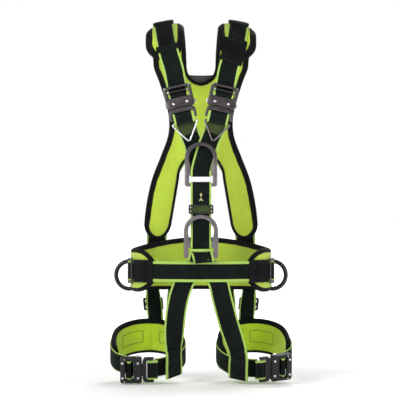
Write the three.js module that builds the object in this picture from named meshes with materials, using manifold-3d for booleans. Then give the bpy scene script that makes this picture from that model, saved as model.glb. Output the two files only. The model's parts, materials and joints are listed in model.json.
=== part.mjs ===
// Tree climbing saddle: a padded full-body harness with a work-positioning belt.
// Units are millimetres. Working frame: +Z up, front of the wearer at -Y, wearer's right at -X.
// The exported group is shifted so that its origin is the top of the dorsal ring's eye.
import * as THREE from "three";
import { mergeVertices } from "three/addons/utils/BufferGeometryUtils.js";
import Module from "manifold-3d";

const wasm = await Module();
wasm.setup();

// ---------------------------------------------------------------- driving dimensions
const WEB = { width: 45, thick: 2.4 }; // main webbing
const RISER_WIDTH = 36; // webbing between belt and leg pads
const SEAT_WIDTH = 30; // rear inner seat webbing
const CLEAR = 0.4; // gap between parts that touch
const PAD_THICK = 10; // foam of the back, shoulder and leg pads
const BELT_THICK = 12; // foam of the belt pad
const ON_PAD = PAD_THICK / 2 + 1.1 + WEB.thick / 2; // webbing lying on a pad's outer face
const ON_BELT = BELT_THICK / 2 + CLEAR + WEB.thick / 2;

// Side profile (y, z) of the pad's middle: up the back, over the shoulder, down the chest.
const TORSO_PROFILE = [
  [106, 230], [100, 330], [97, 420], [93, 500], [87, 580], [80, 645], [68, 700], [46, 752],
  [14, 786], [-10, 792], [-38, 774], [-57, 738], [-70, 695], [-83, 645], [-93, 600], [-99, 555],
  [-102, 515], [-105, 460],
];
const BODY_ROUND = 0.0011; // how fast the torso falls away sideways, per mm

// Back pad edges: z and half-width.
const PAD_OUTER = [
  [311, 124], [342, 127], [395, 121], [448, 109], [500, 89], [545, 73], [585, 71], [625, 80],
  [665, 92], [712, 109], [770, 122],
];
const PAD_TIP = { z: 311, round: 31, center: 98 };
const CROTCH = { top: 505, foot: 448, half: 51, endZ: 330, endHalf: 71 };
const NECK = { bottom: 663, top: 702, half: 34 };
const SHOULDER_SEAM = 700; // where the shoulder pads are sewn to the back pad
const LOBE = { center: 80, half: 41, end: 709, round: 42 };

// Belt: an ellipse round the waist.
const BELT = { rx: 150, ry: 108, z: 243 };
const BELT_PAD = { low: 198, backHigh: 314, sideHigh: 291, tipAngle: 40, tipRound: 62 };

// Leg loops: an ellipse round each thigh, its front lower than its back.
const LEG = { x: 118, rx: 76, ry: 83, z: 62, tilt: 22 };
const LEG_PAD = { half: 41, endHalf: 27, outboard: 62, inboard: 72 };
const LEG_TURN = { right: 0, left: 16 }; // how far each loop is turned round its thigh

const CHEST_RING = {
  hinge: [0, -124, 444], lean: 6, width: 70.5, top: 82, bottom: -15.5, arch: 9, thick: 6.4,
  eyeLow: 15, eyeHalf: 21.5, slotHalf: 25.5, slotHigh: 12.8, notch: 0,
};
const VENTRAL_RING = {
  hinge: [0, -126, 290], lean: 4, width: 75, top: 78, bottom: -17, arch: 9.5, thick: 6.4,
  eyeLow: 14, eyeHalf: 24, slotHalf: 23, slotHigh: 11, notch: 4,
};
const DORSAL_RING = { z: 588, out: 17, width: 62, top: 60, bar: 4.4, arch: 9, thick: 6 };
const SIDE_RING = { angle: 110, z: 231, bar: 9.5, high: 62, deep: 37, corner: 7 };
const WIRE = { bar: 4, half: 29, deep: 46, along: 33, out: 1.9, lean: 4, corner: 6 };

const CHEST_BUCKLE = {
  x: 43, z: 600, out: 3, tilt: 13, length: 50, window: [-45, -23], bar: -38, blade: 8.5, loop: 26,
  rivets: [[-10, 15]],
};
const LEG_BUCKLE = {
  angle: 8, out: 4, yaw: 10, length: 48, window: [-37, -19], bar: -28, blade: 14, loop: 24,
  rivets: [[-43, 18], [-9, 18]],
};
const BUCKLE = {
  width: 62, thick: 11, corner: 7, windowHalf: 24, cavity: [3.2, 7.6], cavityHalf: 17.5,
  leverSlot: [-14, -4],
};
const RIVET = { foot: 2.8, head: 2.4, high: 1.6, sunk: 0.4 };
const BUCKLE_BAR = { radius: 3.2, half: 23.6, out: 5.5 };
const LEVER = { along: [-13.6, -4.4], inner: 18.2, outer: 34.6, out: [3.7, 7.1] };
const TONGUE = {
  neck: 24, shoulder: 5, arm: 26, slot: 10, slotHalf: 24.3, thick: 7.6, out: 5.4, corner: 2.5,
  bladeHalf: 14.5, blade: [3.9, 6.9],
};
const TONGUE_LOOP = { start: 10.4, out: [5.2, 8.4] };
const ADJUSTER = { high: 56, wide: 32, thick: 3, bar: 6, corner: 5 };
const CENTER_ADJUSTER = { y: -115.8, z: 379, wide: 20, high: 54, bar: 3.6 };
const RISER_ADJUSTER = { wide: 30, high: 46, bar: 5, lift: 5.8 };
const BELT_ADJUSTER_ANGLE = 77;
const DORSAL_PLATE = { half: 42, high: 28, z: 576, thick: 4.8, round: 16 };
const DORSAL_STRAP = { top: 610, low: 542 };
const BELT_STRAP_ENDS = { front: 71, rear: 83 }; // degrees from the front
const THIGH_STRAP = { from: 24, to: 334, out: 0.5, rise: [36, 58] };
const FRONT_STRAP_FOOT = { angle: -39, out: 15, heights: [34, 4, -24] };
const RISER = { beltAngle: 136, legAngle: 190 };
const SEAT = { beltAngle: 157, legAngle: 217 };
const STRAP_ENDS = { belt: [217, 196], leg: [44, 25], legLift: 2.2 };

// ---------------------------------------------------------------- materials
const finish = (color, roughness, metalness) =>
  new THREE.MeshStandardMaterial({ color, roughness, metalness });
const LIME = finish(0xb4d43c, 0.85, 0);
const WEBBING = finish(0x14181a, 0.8, 0);
const PLATE = finish(0x9a9298, 0.35, 0.9);
const GUNMETAL = finish(0x6f6a6d, 0.4, 0.9);
const BLACK_METAL = finish(0x17181a, 0.4, 0.6);
const SILVER = finish(0xd8dadc, 0.25, 1);

// ---------------------------------------------------------------- solids
const degrees = THREE.MathUtils.degToRad;
const vector = (x, y, z) => new THREE.Vector3(x, y, z);

// Keeps positions only, joins shared points and turns the faces outwards.
function closed(geometry) {
  const bare = geometry.clone();
  Object.keys(bare.attributes)
    .filter((name) => name !== "position")
    .forEach((name) => bare.deleteAttribute(name));
  const merged = mergeVertices(bare, 1e-4);
  const corner = (k) => new THREE.Vector3().fromBufferAttribute(merged.attributes.position, k);
  const index = Array.from(merged.index.array);
  let volume = 0;
  for (let i = 0; i < index.length; i += 3) {
    volume += corner(index[i]).dot(corner(index[i + 1]).cross(corner(index[i + 2])));
  }
  if (volume < 0) index.reverse();
  merged.setIndex(index);
  return merged;
}

function solidOf(geometry) {
  const mesh = closed(geometry);
  return new wasm.Manifold(
    new wasm.Mesh({
      numProp: 3,
      vertProperties: mesh.attributes.position.array,
      triVerts: new Uint32Array(mesh.index.array),
    }),
  );
}

function geometryOf(solid) {
  const mesh = solid.getMesh();
  const geometry = new THREE.BufferGeometry();
  geometry.setAttribute("position", new THREE.BufferAttribute(mesh.vertProperties, 3));
  geometry.setIndex(new THREE.BufferAttribute(mesh.triVerts, 1));
  return geometry;
}

const join = (first, ...others) =>
  geometryOf(others.reduce((sum, other) => sum.add(solidOf(other)), solidOf(first)));
const cut = (first, ...others) =>
  geometryOf(others.reduce((rest, other) => rest.subtract(solidOf(other)), solidOf(first)));

// A box given by its two limits on each axis.
function block([x0, x1], [y0, y1], [z0, z1]) {
  const box = new THREE.BoxGeometry(x1 - x0, y1 - y0, z1 - z0);
  return box.translate((x0 + x1) / 2, (y0 + y1) / 2, (z0 + z1) / 2);
}

// A box grid whose points are put where place(u, v, w) says, each from 0 to 1.
function bent(nu, nv, nw, place) {
  const grid = new THREE.BoxGeometry(1, 1, 1, nu, nv, nw);
  const points = grid.attributes.position;
  for (let i = 0; i < points.count; i++) {
    const at = place(points.getX(i) + 0.5, points.getY(i) + 0.5, points.getZ(i) + 0.5);
    points.setXYZ(i, at.x, at.y, at.z);
  }
  return closed(grid);
}

// A round bar along a closed flat outline in the XY plane.
function closedBar(outline, radius, sides, steps) {
  const points = outline.getSpacedPoints(steps).slice(0, steps);
  const path = new THREE.CatmullRomCurve3(points.map((p) => vector(p.x, p.y, 0)), true);
  const ring = new THREE.TorusGeometry(1, 0.1, sides, steps);
  const { position, uv } = ring.attributes;
  for (let i = 0; i < position.count; i++) {
    const along = uv.getX(i) % 1;
    const turn = (uv.getY(i) % 1) * 2 * Math.PI;
    const at = path.getPointAt(along);
    const tangent = path.getTangentAt(along);
    const side = vector(tangent.y, -tangent.x, 0).normalize();
    at.addScaledVector(side, radius * Math.cos(turn));
    position.setXYZ(i, at.x, at.y, at.z + radius * Math.sin(turn));
  }
  return closed(ring);
}

// A closed outline through the corners, each rounded off.
function roundedOutline(corners, radius) {
  const outline = new THREE.Shape();
  corners.forEach(([x, y], i) => {
    const corner = new THREE.Vector2(x, y);
    const [before, after] = [corners.at(i - 1), corners[(i + 1) % corners.length]].map(
      ([nx, ny]) => {
        const neighbour = new THREE.Vector2(nx, ny);
        const reach = Math.min(radius, corner.distanceTo(neighbour) / 2.01);
        return corner.clone().add(neighbour.sub(corner).setLength(reach));
      },
    );
    if (i === 0) outline.moveTo(before.x, before.y);
    else outline.lineTo(before.x, before.y);
    outline.quadraticCurveTo(x, y, after.x, after.y);
  });
  outline.closePath();
  return outline;
}

const rectangle = (x0, x1, y0, y1) => [[x0, y0], [x1, y0], [x1, y1], [x0, y1]];

// A flat plate of the outline, centred on z = 0, with eased edges.
function plate(outline, thick, ease = 1, easeSteps = 1, curveSegments = 5) {
  const geometry = new THREE.ExtrudeGeometry(outline, {
    depth: thick - 2 * ease,
    bevelEnabled: true,
    bevelThickness: ease,
    bevelSize: ease,
    bevelOffset: -ease,
    bevelSegments: easeSteps,
    curveSegments,
  });
  return geometry.translate(0, 0, ease - thick / 2);
}

// ---------------------------------------------------------------- surfaces of the body
// Each takes a place on the surface and an offset outwards, all in mm.
const torsoCurve = new THREE.CatmullRomCurve3(TORSO_PROFILE.map(([y, z]) => vector(0, y, z)));
torsoCurve.arcLengthDivisions = 600;
const torsoLength = torsoCurve.getLength();
const TORSO_SAMPLES = 600;
const torsoHeights = Array.from({ length: TORSO_SAMPLES + 1 }, (_, i) =>
  torsoCurve.getPointAt(i / TORSO_SAMPLES).z,
);
const torsoCrest = torsoHeights.indexOf(Math.max(...torsoHeights));

function torso(x, s, out) {
  const u = THREE.MathUtils.clamp(s / torsoLength, 0, 1);
  const at = torsoCurve.getPointAt(u);
  const along = torsoCurve.getTangentAt(u);
  const offset = out - BODY_ROUND * x * x;
  return vector(x, at.y + along.z * offset, at.z - along.y * offset);
}

// Distance along the torso profile at height z, on the back or on the chest.
function atHeight(z, onChest) {
  const last = onChest ? TORSO_SAMPLES : torsoCrest;
  const first = onChest ? torsoCrest : 0;
  for (let i = first; i < last; i++) {
    const [here, next] = [torsoHeights[i], torsoHeights[i + 1]];
    if ((here - z) * (next - z) <= 0 && here !== next) {
      return ((i + (z - here) / (next - here)) / TORSO_SAMPLES) * torsoLength;
    }
  }
  throw new Error("no torso height " + z);
}
const back = (z) => atHeight(z, false);
const chest = (z) => atHeight(z, true);
const crest = (torsoCrest / TORSO_SAMPLES) * torsoLength;

// A point of an ellipse, by angle from the front, positive towards +X, and its outward normal.
function ellipse(rx, ry, angle) {
  const a = degrees(angle);
  const normal = new THREE.Vector2(Math.sin(a) / rx, -Math.cos(a) / ry).normalize();
  return { x: rx * Math.sin(a), y: -ry * Math.cos(a), normal };
}

// The belt surface: angle in degrees from the front, height z.
function belt(angle, z, out) {
  const { x, y, normal } = ellipse(BELT.rx, BELT.ry, angle);
  return vector(x + normal.x * out, y + normal.y * out, z);
}

// A leg loop: angle in degrees from the front, positive outboard; height across the band.
function legOf(side) {
  const turn = side < 0 ? LEG_TURN.right : LEG_TURN.left;
  const tilt = degrees(LEG.tilt);
  return (angle, height, out) => {
    const { x, y, normal } = ellipse(LEG.rx, LEG.ry, angle + turn);
    const depth = y + normal.y * out;
    return vector(
      side * (LEG.x + x + normal.x * out),
      depth * Math.cos(tilt) - height * Math.sin(tilt),
      LEG.z + depth * Math.sin(tilt) + height * Math.cos(tilt),
    );
  };
}

// A rigid frame standing on a surface: +X along the heading, +Z outwards.
function frameOn(map, a, b, out, [da, db]) {
  const step = 0.5;
  const origin = map(a, b, out);
  const alongA = map(a + step, b, out).sub(map(a - step, b, out)).multiplyScalar(da);
  const alongB = map(a, b + step, out).sub(map(a, b - step, out)).multiplyScalar(db);
  const x = alongA.add(alongB).normalize();
  const z = map(a, b, out + 1).sub(map(a, b, out - 1));
  z.addScaledVector(x, -z.dot(x)).normalize();
  const y = z.clone().cross(x);
  return new THREE.Matrix4().makeBasis(x, y, z).setPosition(origin);
}

// Webbing through points [a, b, out] of a surface where a and b are both in mm.
function ribbon(map, points, width, thick, steps) {
  const path = new THREE.CatmullRomCurve3(points.map(([a, b, out]) => vector(a, b, out)));
  return bent(steps, 2, 1, (u, v, w) => {
    const at = path.getPointAt(u);
    const along = path.getTangentAt(u);
    const across = new THREE.Vector2(-along.y, along.x).normalize();
    across.multiplyScalar((v - 0.5) * width);
    return map(at.x + across.x, at.y + across.y, at.z + (w - 0.5) * thick);
  });
}

// Webbing through points in space; each row is [point, outward direction].
function strap(rows, width, thick, steps) {
  const path = new THREE.CatmullRomCurve3(rows.map(([point]) => point));
  const facing = new THREE.CatmullRomCurve3(rows.map(([, out]) => out));
  return bent(steps, 1, 1, (u, v, w) => {
    const t = path.getUtoTmapping(u);
    const along = path.getTangent(t);
    const across = facing.getPoint(t).cross(along).normalize();
    const out = along.clone().cross(across);
    return path
      .getPoint(t)
      .addScaledVector(across, (v - 0.5) * width)
      .addScaledVector(out, (w - 0.5) * thick);
  });
}

// A rigid frame on such webbing, at a fraction of its length: +X along it, +Z outwards.
function frameOnStrap(rows, fraction, out) {
  const path = new THREE.CatmullRomCurve3(rows.map(([point]) => point));
  const facing = new THREE.CatmullRomCurve3(rows.map(([, normal]) => normal));
  const x = path.getTangentAt(fraction);
  const z = facing.getPoint(path.getUtoTmapping(fraction));
  z.addScaledVector(x, -z.dot(x)).normalize();
  const origin = path.getPointAt(fraction).addScaledVector(z, out);
  return new THREE.Matrix4().makeBasis(x, z.clone().cross(x), z).setPosition(origin);
}

// A band of a surface from one a to another; edges(a) gives its two limits in b.
function band(map, from, to, edges, thick, steps, rows, out = 0) {
  return bent(steps, rows, 1, (u, v, w) => {
    const a = THREE.MathUtils.lerp(from, to, u);
    const [low, high] = edges(a);
    return map(a, THREE.MathUtils.lerp(low, high, v), out + (w - 0.5) * thick);
  });
}

// A smooth curve through [place, value] pairs.
function smooth(pairs) {
  const last = pairs.length - 1;
  return (place) => {
    const i = THREE.MathUtils.clamp(pairs.findIndex(([p]) => p > place), 1, last);
    const k = place >= pairs[last][0] ? last : i;
    const [[p0, v0], [p1, v1]] = [pairs[k - 1], pairs[k]];
    const slope = (j) => {
      const [a, b] = [pairs[Math.max(j - 1, 0)], pairs[Math.min(j + 1, last)]];
      return (b[1] - a[1]) / (b[0] - a[0]);
    };
    const t = THREE.MathUtils.clamp((place - p0) / (p1 - p0), 0, 1);
    const [t2, t3] = [t * t, t * t * t];
    const span = p1 - p0;
    return (
      (2 * t3 - 3 * t2 + 1) * v0 + (t3 - 2 * t2 + t) * span * slope(k - 1) +
      (3 * t2 - 2 * t3) * v1 + (t3 - t2) * span * slope(k)
    );
  };
}

// The half-width left of a round end of the given radius, as a fraction, at a distance from it.
const roundEnd = (distance, radius) =>
  distance >= radius ? 1 : Math.sqrt(Math.max(1 - ((radius - distance) / radius) ** 2, 0.06));

// ---------------------------------------------------------------- the assembly
const saddle = new THREE.Group();

function add(name, geometry, material, parent = saddle) {
  const mesh = new THREE.Mesh(geometry, material);
  mesh.name = name;
  parent.add(mesh);
  return mesh;
}

function station(matrix) {
  const group = new THREE.Group();
  group.applyMatrix4(matrix);
  saddle.add(group);
  return group;
}

const SIDES = [[-1, "right"], [1, "left"]];

// ---- back pad: an X of foam, its legs ending on the belt and its arms at the shoulder seams
const outerEdge = smooth(PAD_OUTER);

function innerEdge(z) {
  const overlap = -1; // the two halves run a little into each other
  if (z < CROTCH.foot) {
    const t = (CROTCH.foot - z) / (CROTCH.foot - CROTCH.endZ);
    return THREE.MathUtils.lerp(CROTCH.half, CROTCH.endHalf, t);
  }
  if (z < CROTCH.top) {
    const t = (z - CROTCH.foot) / (CROTCH.top - CROTCH.foot);
    return CROTCH.half * Math.sqrt(1 - t * t);
  }
  if (z < NECK.bottom) return overlap;
  if (z >= NECK.top) return NECK.half;
  const t = (NECK.top - z) / (NECK.top - NECK.bottom);
  return Math.max(overlap, NECK.half * Math.sqrt(1 - t * t));
}

function backPadEdges(z) {
  const left = roundEnd(z - PAD_TIP.z, PAD_TIP.round);
  const [inner, outer] = [innerEdge(z), outerEdge(z)];
  const center = z < PAD_TIP.z + PAD_TIP.round ? PAD_TIP.center : 0;
  return [center + (inner - center) * left, center + (outer - center) * left];
}

const backRows = [
  311, 313, 318, 327, 342, 368, 395, 421, 448, 470, 487, 498, 503.5, 505.5, 530, 555, 580, 605,
  630, 650, 662.5, 664, 669, 677, 688, SHOULDER_SEAM - CLEAR / 2,
];

function backPadHalf(side) {
  const rows = backRows.length - 1;
  return bent(rows, 3, 1, (u, v, w) => {
    const z = backRows[Math.round(u * rows)];
    const [inner, outer] = backPadEdges(z);
    return torso(side * THREE.MathUtils.lerp(inner, outer, v), back(z), (w - 0.5) * PAD_THICK);
  });
}
add("back_pad", join(backPadHalf(-1), backPadHalf(1)), LIME);

// ---- dorsal plate, where the straps cross behind the shoulder blades
const dorsalEdges = (x) => {
  const half = DORSAL_PLATE.high * roundEnd(DORSAL_PLATE.half - Math.abs(x), DORSAL_PLATE.round);
  return [back(DORSAL_PLATE.z) - half, back(DORSAL_PLATE.z) + half];
};
const dorsalPlateOut = PAD_THICK / 2 + CLEAR + DORSAL_PLATE.thick / 2;
add("dorsal_plate", band(torso, -DORSAL_PLATE.half, DORSAL_PLATE.half, dorsalEdges,
  DORSAL_PLATE.thick, 14, 1, dorsalPlateOut), BLACK_METAL);

for (const [side, name] of SIDES) {
  // ---- shoulder pad: over the shoulder to a round end on the chest
  const seam = back(SHOULDER_SEAM + CLEAR / 2);
  const lobeEnd = chest(LOBE.end);
  const armEdges = (s) => {
    const climb = THREE.MathUtils.smoothstep(s, seam, crest);
    const left = roundEnd(lobeEnd - s, LOBE.round);
    const center = THREE.MathUtils.lerp((NECK.half + outerEdge(SHOULDER_SEAM)) / 2, LOBE.center, climb);
    const half = THREE.MathUtils.lerp((outerEdge(SHOULDER_SEAM) - NECK.half) / 2, LOBE.half, climb);
    return [side * (center - half * left), side * (center + half * left)];
  };
  const arm = (s, x, out) => torso(x, s, out);
  add(`${name}_shoulder_pad`, band(arm, seam, lobeEnd, armEdges, PAD_THICK, 18, 3), LIME);

  // ---- webbing from the dorsal plate over the shoulder to the chest buckle
  const shoulderPath = [
    [30, back(DORSAL_STRAP.top), ON_PAD], [46, back(650), ON_PAD], [67, back(700), ON_PAD],
    [80, back(755), ON_PAD], [84, crest, ON_PAD], [78, chest(755), ON_PAD],
    [69, chest(715), ON_PAD], [61, chest(690), 3.5], [55, chest(660), 0.5],
    [50, chest(628), 0],
  ].map(([x, s, out]) => [side * x, s, out]);
  add(`${name}_shoulder_strap`, ribbon(torso, shoulderPath, WEB.width, WEB.thick, 34), WEBBING);

  // ---- webbing from the dorsal plate down behind the pad's leg to the belt
  const backPath = [
    [23, back(DORSAL_STRAP.low), ON_PAD], [50, back(501), ON_PAD], [73, back(462), ON_PAD],
    [87, back(415), ON_PAD], [98, back(345), ON_PAD], [102, back(275), ON_PAD + 3.5],
  ].map(([x, s, out]) => [side * x, s, out]);
  add(`${name}_back_strap`, ribbon(torso, backPath, WEB.width, WEB.thick, 12), WEBBING);
}

// ---- belt pad: round the back and sides, ending in round wings at the front
function beltPadEdges(angle) {
  const fromBack = Math.abs(angle - 180);
  const tip = 180 - BELT_PAD.tipAngle;
  const left = roundEnd((tip - fromBack) * 2.3, BELT_PAD.tipRound);
  const middle = THREE.MathUtils.lerp(
    (BELT_PAD.low + BELT_PAD.backHigh) / 2, BELT.z, Math.min(fromBack / 90, 1));
  const high = THREE.MathUtils.lerp(
    BELT_PAD.backHigh, BELT_PAD.sideHigh, THREE.MathUtils.smoothstep(fromBack, 0, 90));
  return [middle + (BELT_PAD.low - middle) * left, middle + (high - middle) * left];
}
add("belt_pad",
  band(belt, BELT_PAD.tipAngle, 360 - BELT_PAD.tipAngle, beltPadEdges, BELT_THICK, 40, 2), LIME);

const webEdges = () => [BELT.z - WEB.width / 2, BELT.z + WEB.width / 2];
const { front: frontEnd, rear: rearEnd } = BELT_STRAP_ENDS;
add("belt_front_strap",
  band(belt, -frontEnd, frontEnd, webEdges, WEB.thick, 18, 1, ON_BELT), WEBBING);
add("belt_rear_strap",
  band(belt, rearEnd, 360 - rearEnd, webEdges, WEB.thick, 26, 1, ON_BELT), WEBBING);

// ---- three-bar slider: +X along the webbing, +Z outwards
function slider(wide, high, bar = ADJUSTER.bar) {
  const [across, up] = [wide / 2, high / 2];
  const outline = roundedOutline(rectangle(-across, across, -up, up), ADJUSTER.corner);
  const body = plate(outline, ADJUSTER.thick, 0.7, 1, 3);
  const windows = [[-across + bar, -bar / 2], [bar / 2, across - bar]].map((reach) =>
    block(reach, [-up + bar, up - bar], [-ADJUSTER.thick, ADJUSTER.thick]));
  return cut(body, ...windows);
}

const SLIDER_OUT = WEB.thick / 2 + CLEAR + ADJUSTER.thick / 2 + 0.6;

// ---- D ring plate: origin at the slot's middle, y up, z outwards
function ringPlate(ring) {
  const half = ring.width / 2;
  const outline = new THREE.Shape();
  const foot = 6;
  outline.moveTo(-half, ring.bottom + foot);
  outline.quadraticCurveTo(-half, ring.bottom, -half + foot, ring.bottom);
  outline.lineTo(half - foot, ring.bottom);
  outline.quadraticCurveTo(half, ring.bottom, half, ring.bottom + foot);
  outline.absarc(0, ring.top - half, half, 0, Math.PI, false);
  outline.closePath();
  const eye = new THREE.Path();
  const inner = half - ring.arch;
  eye.moveTo(-ring.eyeHalf, ring.eyeLow);
  eye.lineTo(ring.eyeHalf, ring.eyeLow);
  eye.absarc(0, ring.top - half, inner, -0.35, Math.PI + 0.35, false);
  eye.closePath();
  outline.holes.push(eye);
  if (ring.slotHalf) {
    const [s, h, n] = [ring.slotHalf, ring.slotHigh / 2, ring.notch];
    const slot = n
      ? [[-s - n, -h], [-s, -h + 2], [s, -h + 2], [s + n, -h], [s + n, h], [s, h], [-s, h], [-s - n, h]]
      : rectangle(-s, s, -h, h);
    outline.holes.push(new THREE.Path(slot.map(([x, y]) => new THREE.Vector2(x, y))));
  }
  return plate(outline, ring.thick, 1.2, 1, 11);
}

function ringStation(ring) {
  const [x, y, z] = ring.hinge;
  const matrix = new THREE.Matrix4().makeRotationX(degrees(90 - ring.lean));
  matrix.setPosition(x, y, z);
  return station(matrix);
}
add("chest_ring", ringPlate(CHEST_RING), PLATE, ringStation(CHEST_RING));
add("ventral_ring", ringPlate(VENTRAL_RING), PLATE, ringStation(VENTRAL_RING));

// ---- dorsal ring: hinged on its straight bar, lying up the back
const dorsalHinge = torso(0, back(DORSAL_RING.z), DORSAL_RING.out);
const dorsalAlong = torso(0, back(DORSAL_RING.z + 60), DORSAL_RING.out).sub(dorsalHinge);
const dorsalLean = Math.atan2(-dorsalAlong.y, dorsalAlong.z);
const dorsalStation = station(
  new THREE.Matrix4().makeRotationX(degrees(90) + dorsalLean).setPosition(dorsalHinge));
add("dorsal_ring", ringPlate({
  ...DORSAL_RING, bottom: -DORSAL_RING.bar, eyeLow: DORSAL_RING.bar,
  eyeHalf: DORSAL_RING.width / 2 - DORSAL_RING.arch,
}), PLATE, dorsalStation);
const eyeTop = DORSAL_RING.top - DORSAL_RING.arch;
const HANG = vector(0, eyeTop, 0).applyMatrix4(dorsalStation.matrix);

// ---- centre strap between the chest ring and the ventral ring
const FORWARD = vector(0, -1, 0);
const centerRows = [[-120, 426.5], [-117, 400], [-115, 370], [-114, 340], [-114, 309]]
  .map(([y, z]) => [vector(0, y, z), FORWARD]);
add("center_strap", strap(centerRows, WEB.width, WEB.thick, 8), WEBBING);
const centerAdjuster = frameOn((x, z, out) => vector(x, CENTER_ADJUSTER.y - out, z),
  0, CENTER_ADJUSTER.z, SLIDER_OUT, [0, 1]);
add("center_adjuster", slider(CENTER_ADJUSTER.wide, CENTER_ADJUSTER.high, CENTER_ADJUSTER.bar),
  BLACK_METAL, station(centerAdjuster));

// ---- buckle in its own frame: +X from receiver to tongue, +Z outwards, back face at z = 0
function rivetsOn(body, rivets) {
  const heads = rivets.flatMap(([x, y]) => [-1, 1].map((side) => {
    const head = new THREE.CylinderGeometry(RIVET.head, RIVET.foot, RIVET.high, 12);
    return head.rotateX(degrees(90)).translate(x, side * y, BUCKLE.thick + RIVET.sunk);
  }));
  return join(body, ...heads);
}

function receiver(buckle) {
  const half = BUCKLE.width / 2;
  const body = plate(roundedOutline(rectangle(-buckle.length, 0, -half, half), BUCKLE.corner),
    BUCKLE.thick, 1, 1, 3).translate(0, 0, BUCKLE.thick / 2);
  const hollow = cut(body,
    block(buckle.window, [-BUCKLE.windowHalf, BUCKLE.windowHalf], [-1, BUCKLE.thick + 1]),
    block([-buckle.blade - 2, 1], [-BUCKLE.cavityHalf, BUCKLE.cavityHalf], BUCKLE.cavity),
    block(BUCKLE.leverSlot, [-half - 1, half + 1], BUCKLE.cavity));
  return rivetsOn(hollow, buckle.rivets);
}

function tongue(buckle) {
  const half = BUCKLE.width / 2 - 1;
  const { neck, shoulder, arm, slot, slotHalf } = TONGUE;
  const yoke = roundedOutline([
    [1, -neck], [1, neck], [shoulder, half], [arm, half], [arm, slotHalf], [slot, slotHalf],
    [slot, -slotHalf], [arm, -slotHalf], [arm, -half], [shoulder, -half],
  ], TONGUE.corner);
  const blade = block([-buckle.blade, shoulder], [-TONGUE.bladeHalf, TONGUE.bladeHalf],
    TONGUE.blade);
  return join(plate(yoke, TONGUE.thick, 1, 1, 2).translate(0, 0, TONGUE.out), blade);
}

function addBuckle(prefix, buckle, frame) {
  const group = station(frame);
  add(`${prefix}_receiver`, receiver(buckle), GUNMETAL, group);
  const bar = new THREE.CylinderGeometry(BUCKLE_BAR.radius, BUCKLE_BAR.radius,
    2 * BUCKLE_BAR.half, 12);
  add(`${prefix}_adjuster_bar`, bar.translate(buckle.bar, 0, BUCKLE_BAR.out), SILVER, group);
  add(`${prefix}_tongue`, tongue(buckle), GUNMETAL, group);
  const loop = block([TONGUE_LOOP.start, TONGUE_LOOP.start + buckle.loop],
    [-WEB.width / 2, WEB.width / 2], TONGUE_LOOP.out);
  add(`${prefix}_tongue_loop`, loop, WEBBING, group);
  for (const [sign, edge] of [[-1, "lower"], [1, "upper"]]) {
    const reach = [sign * LEVER.inner, sign * LEVER.outer].sort((a, b) => a - b);
    add(`${prefix}_${edge}_lever`, block(LEVER.along, reach, LEVER.out), SILVER, group);
  }
  return group;
}

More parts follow.
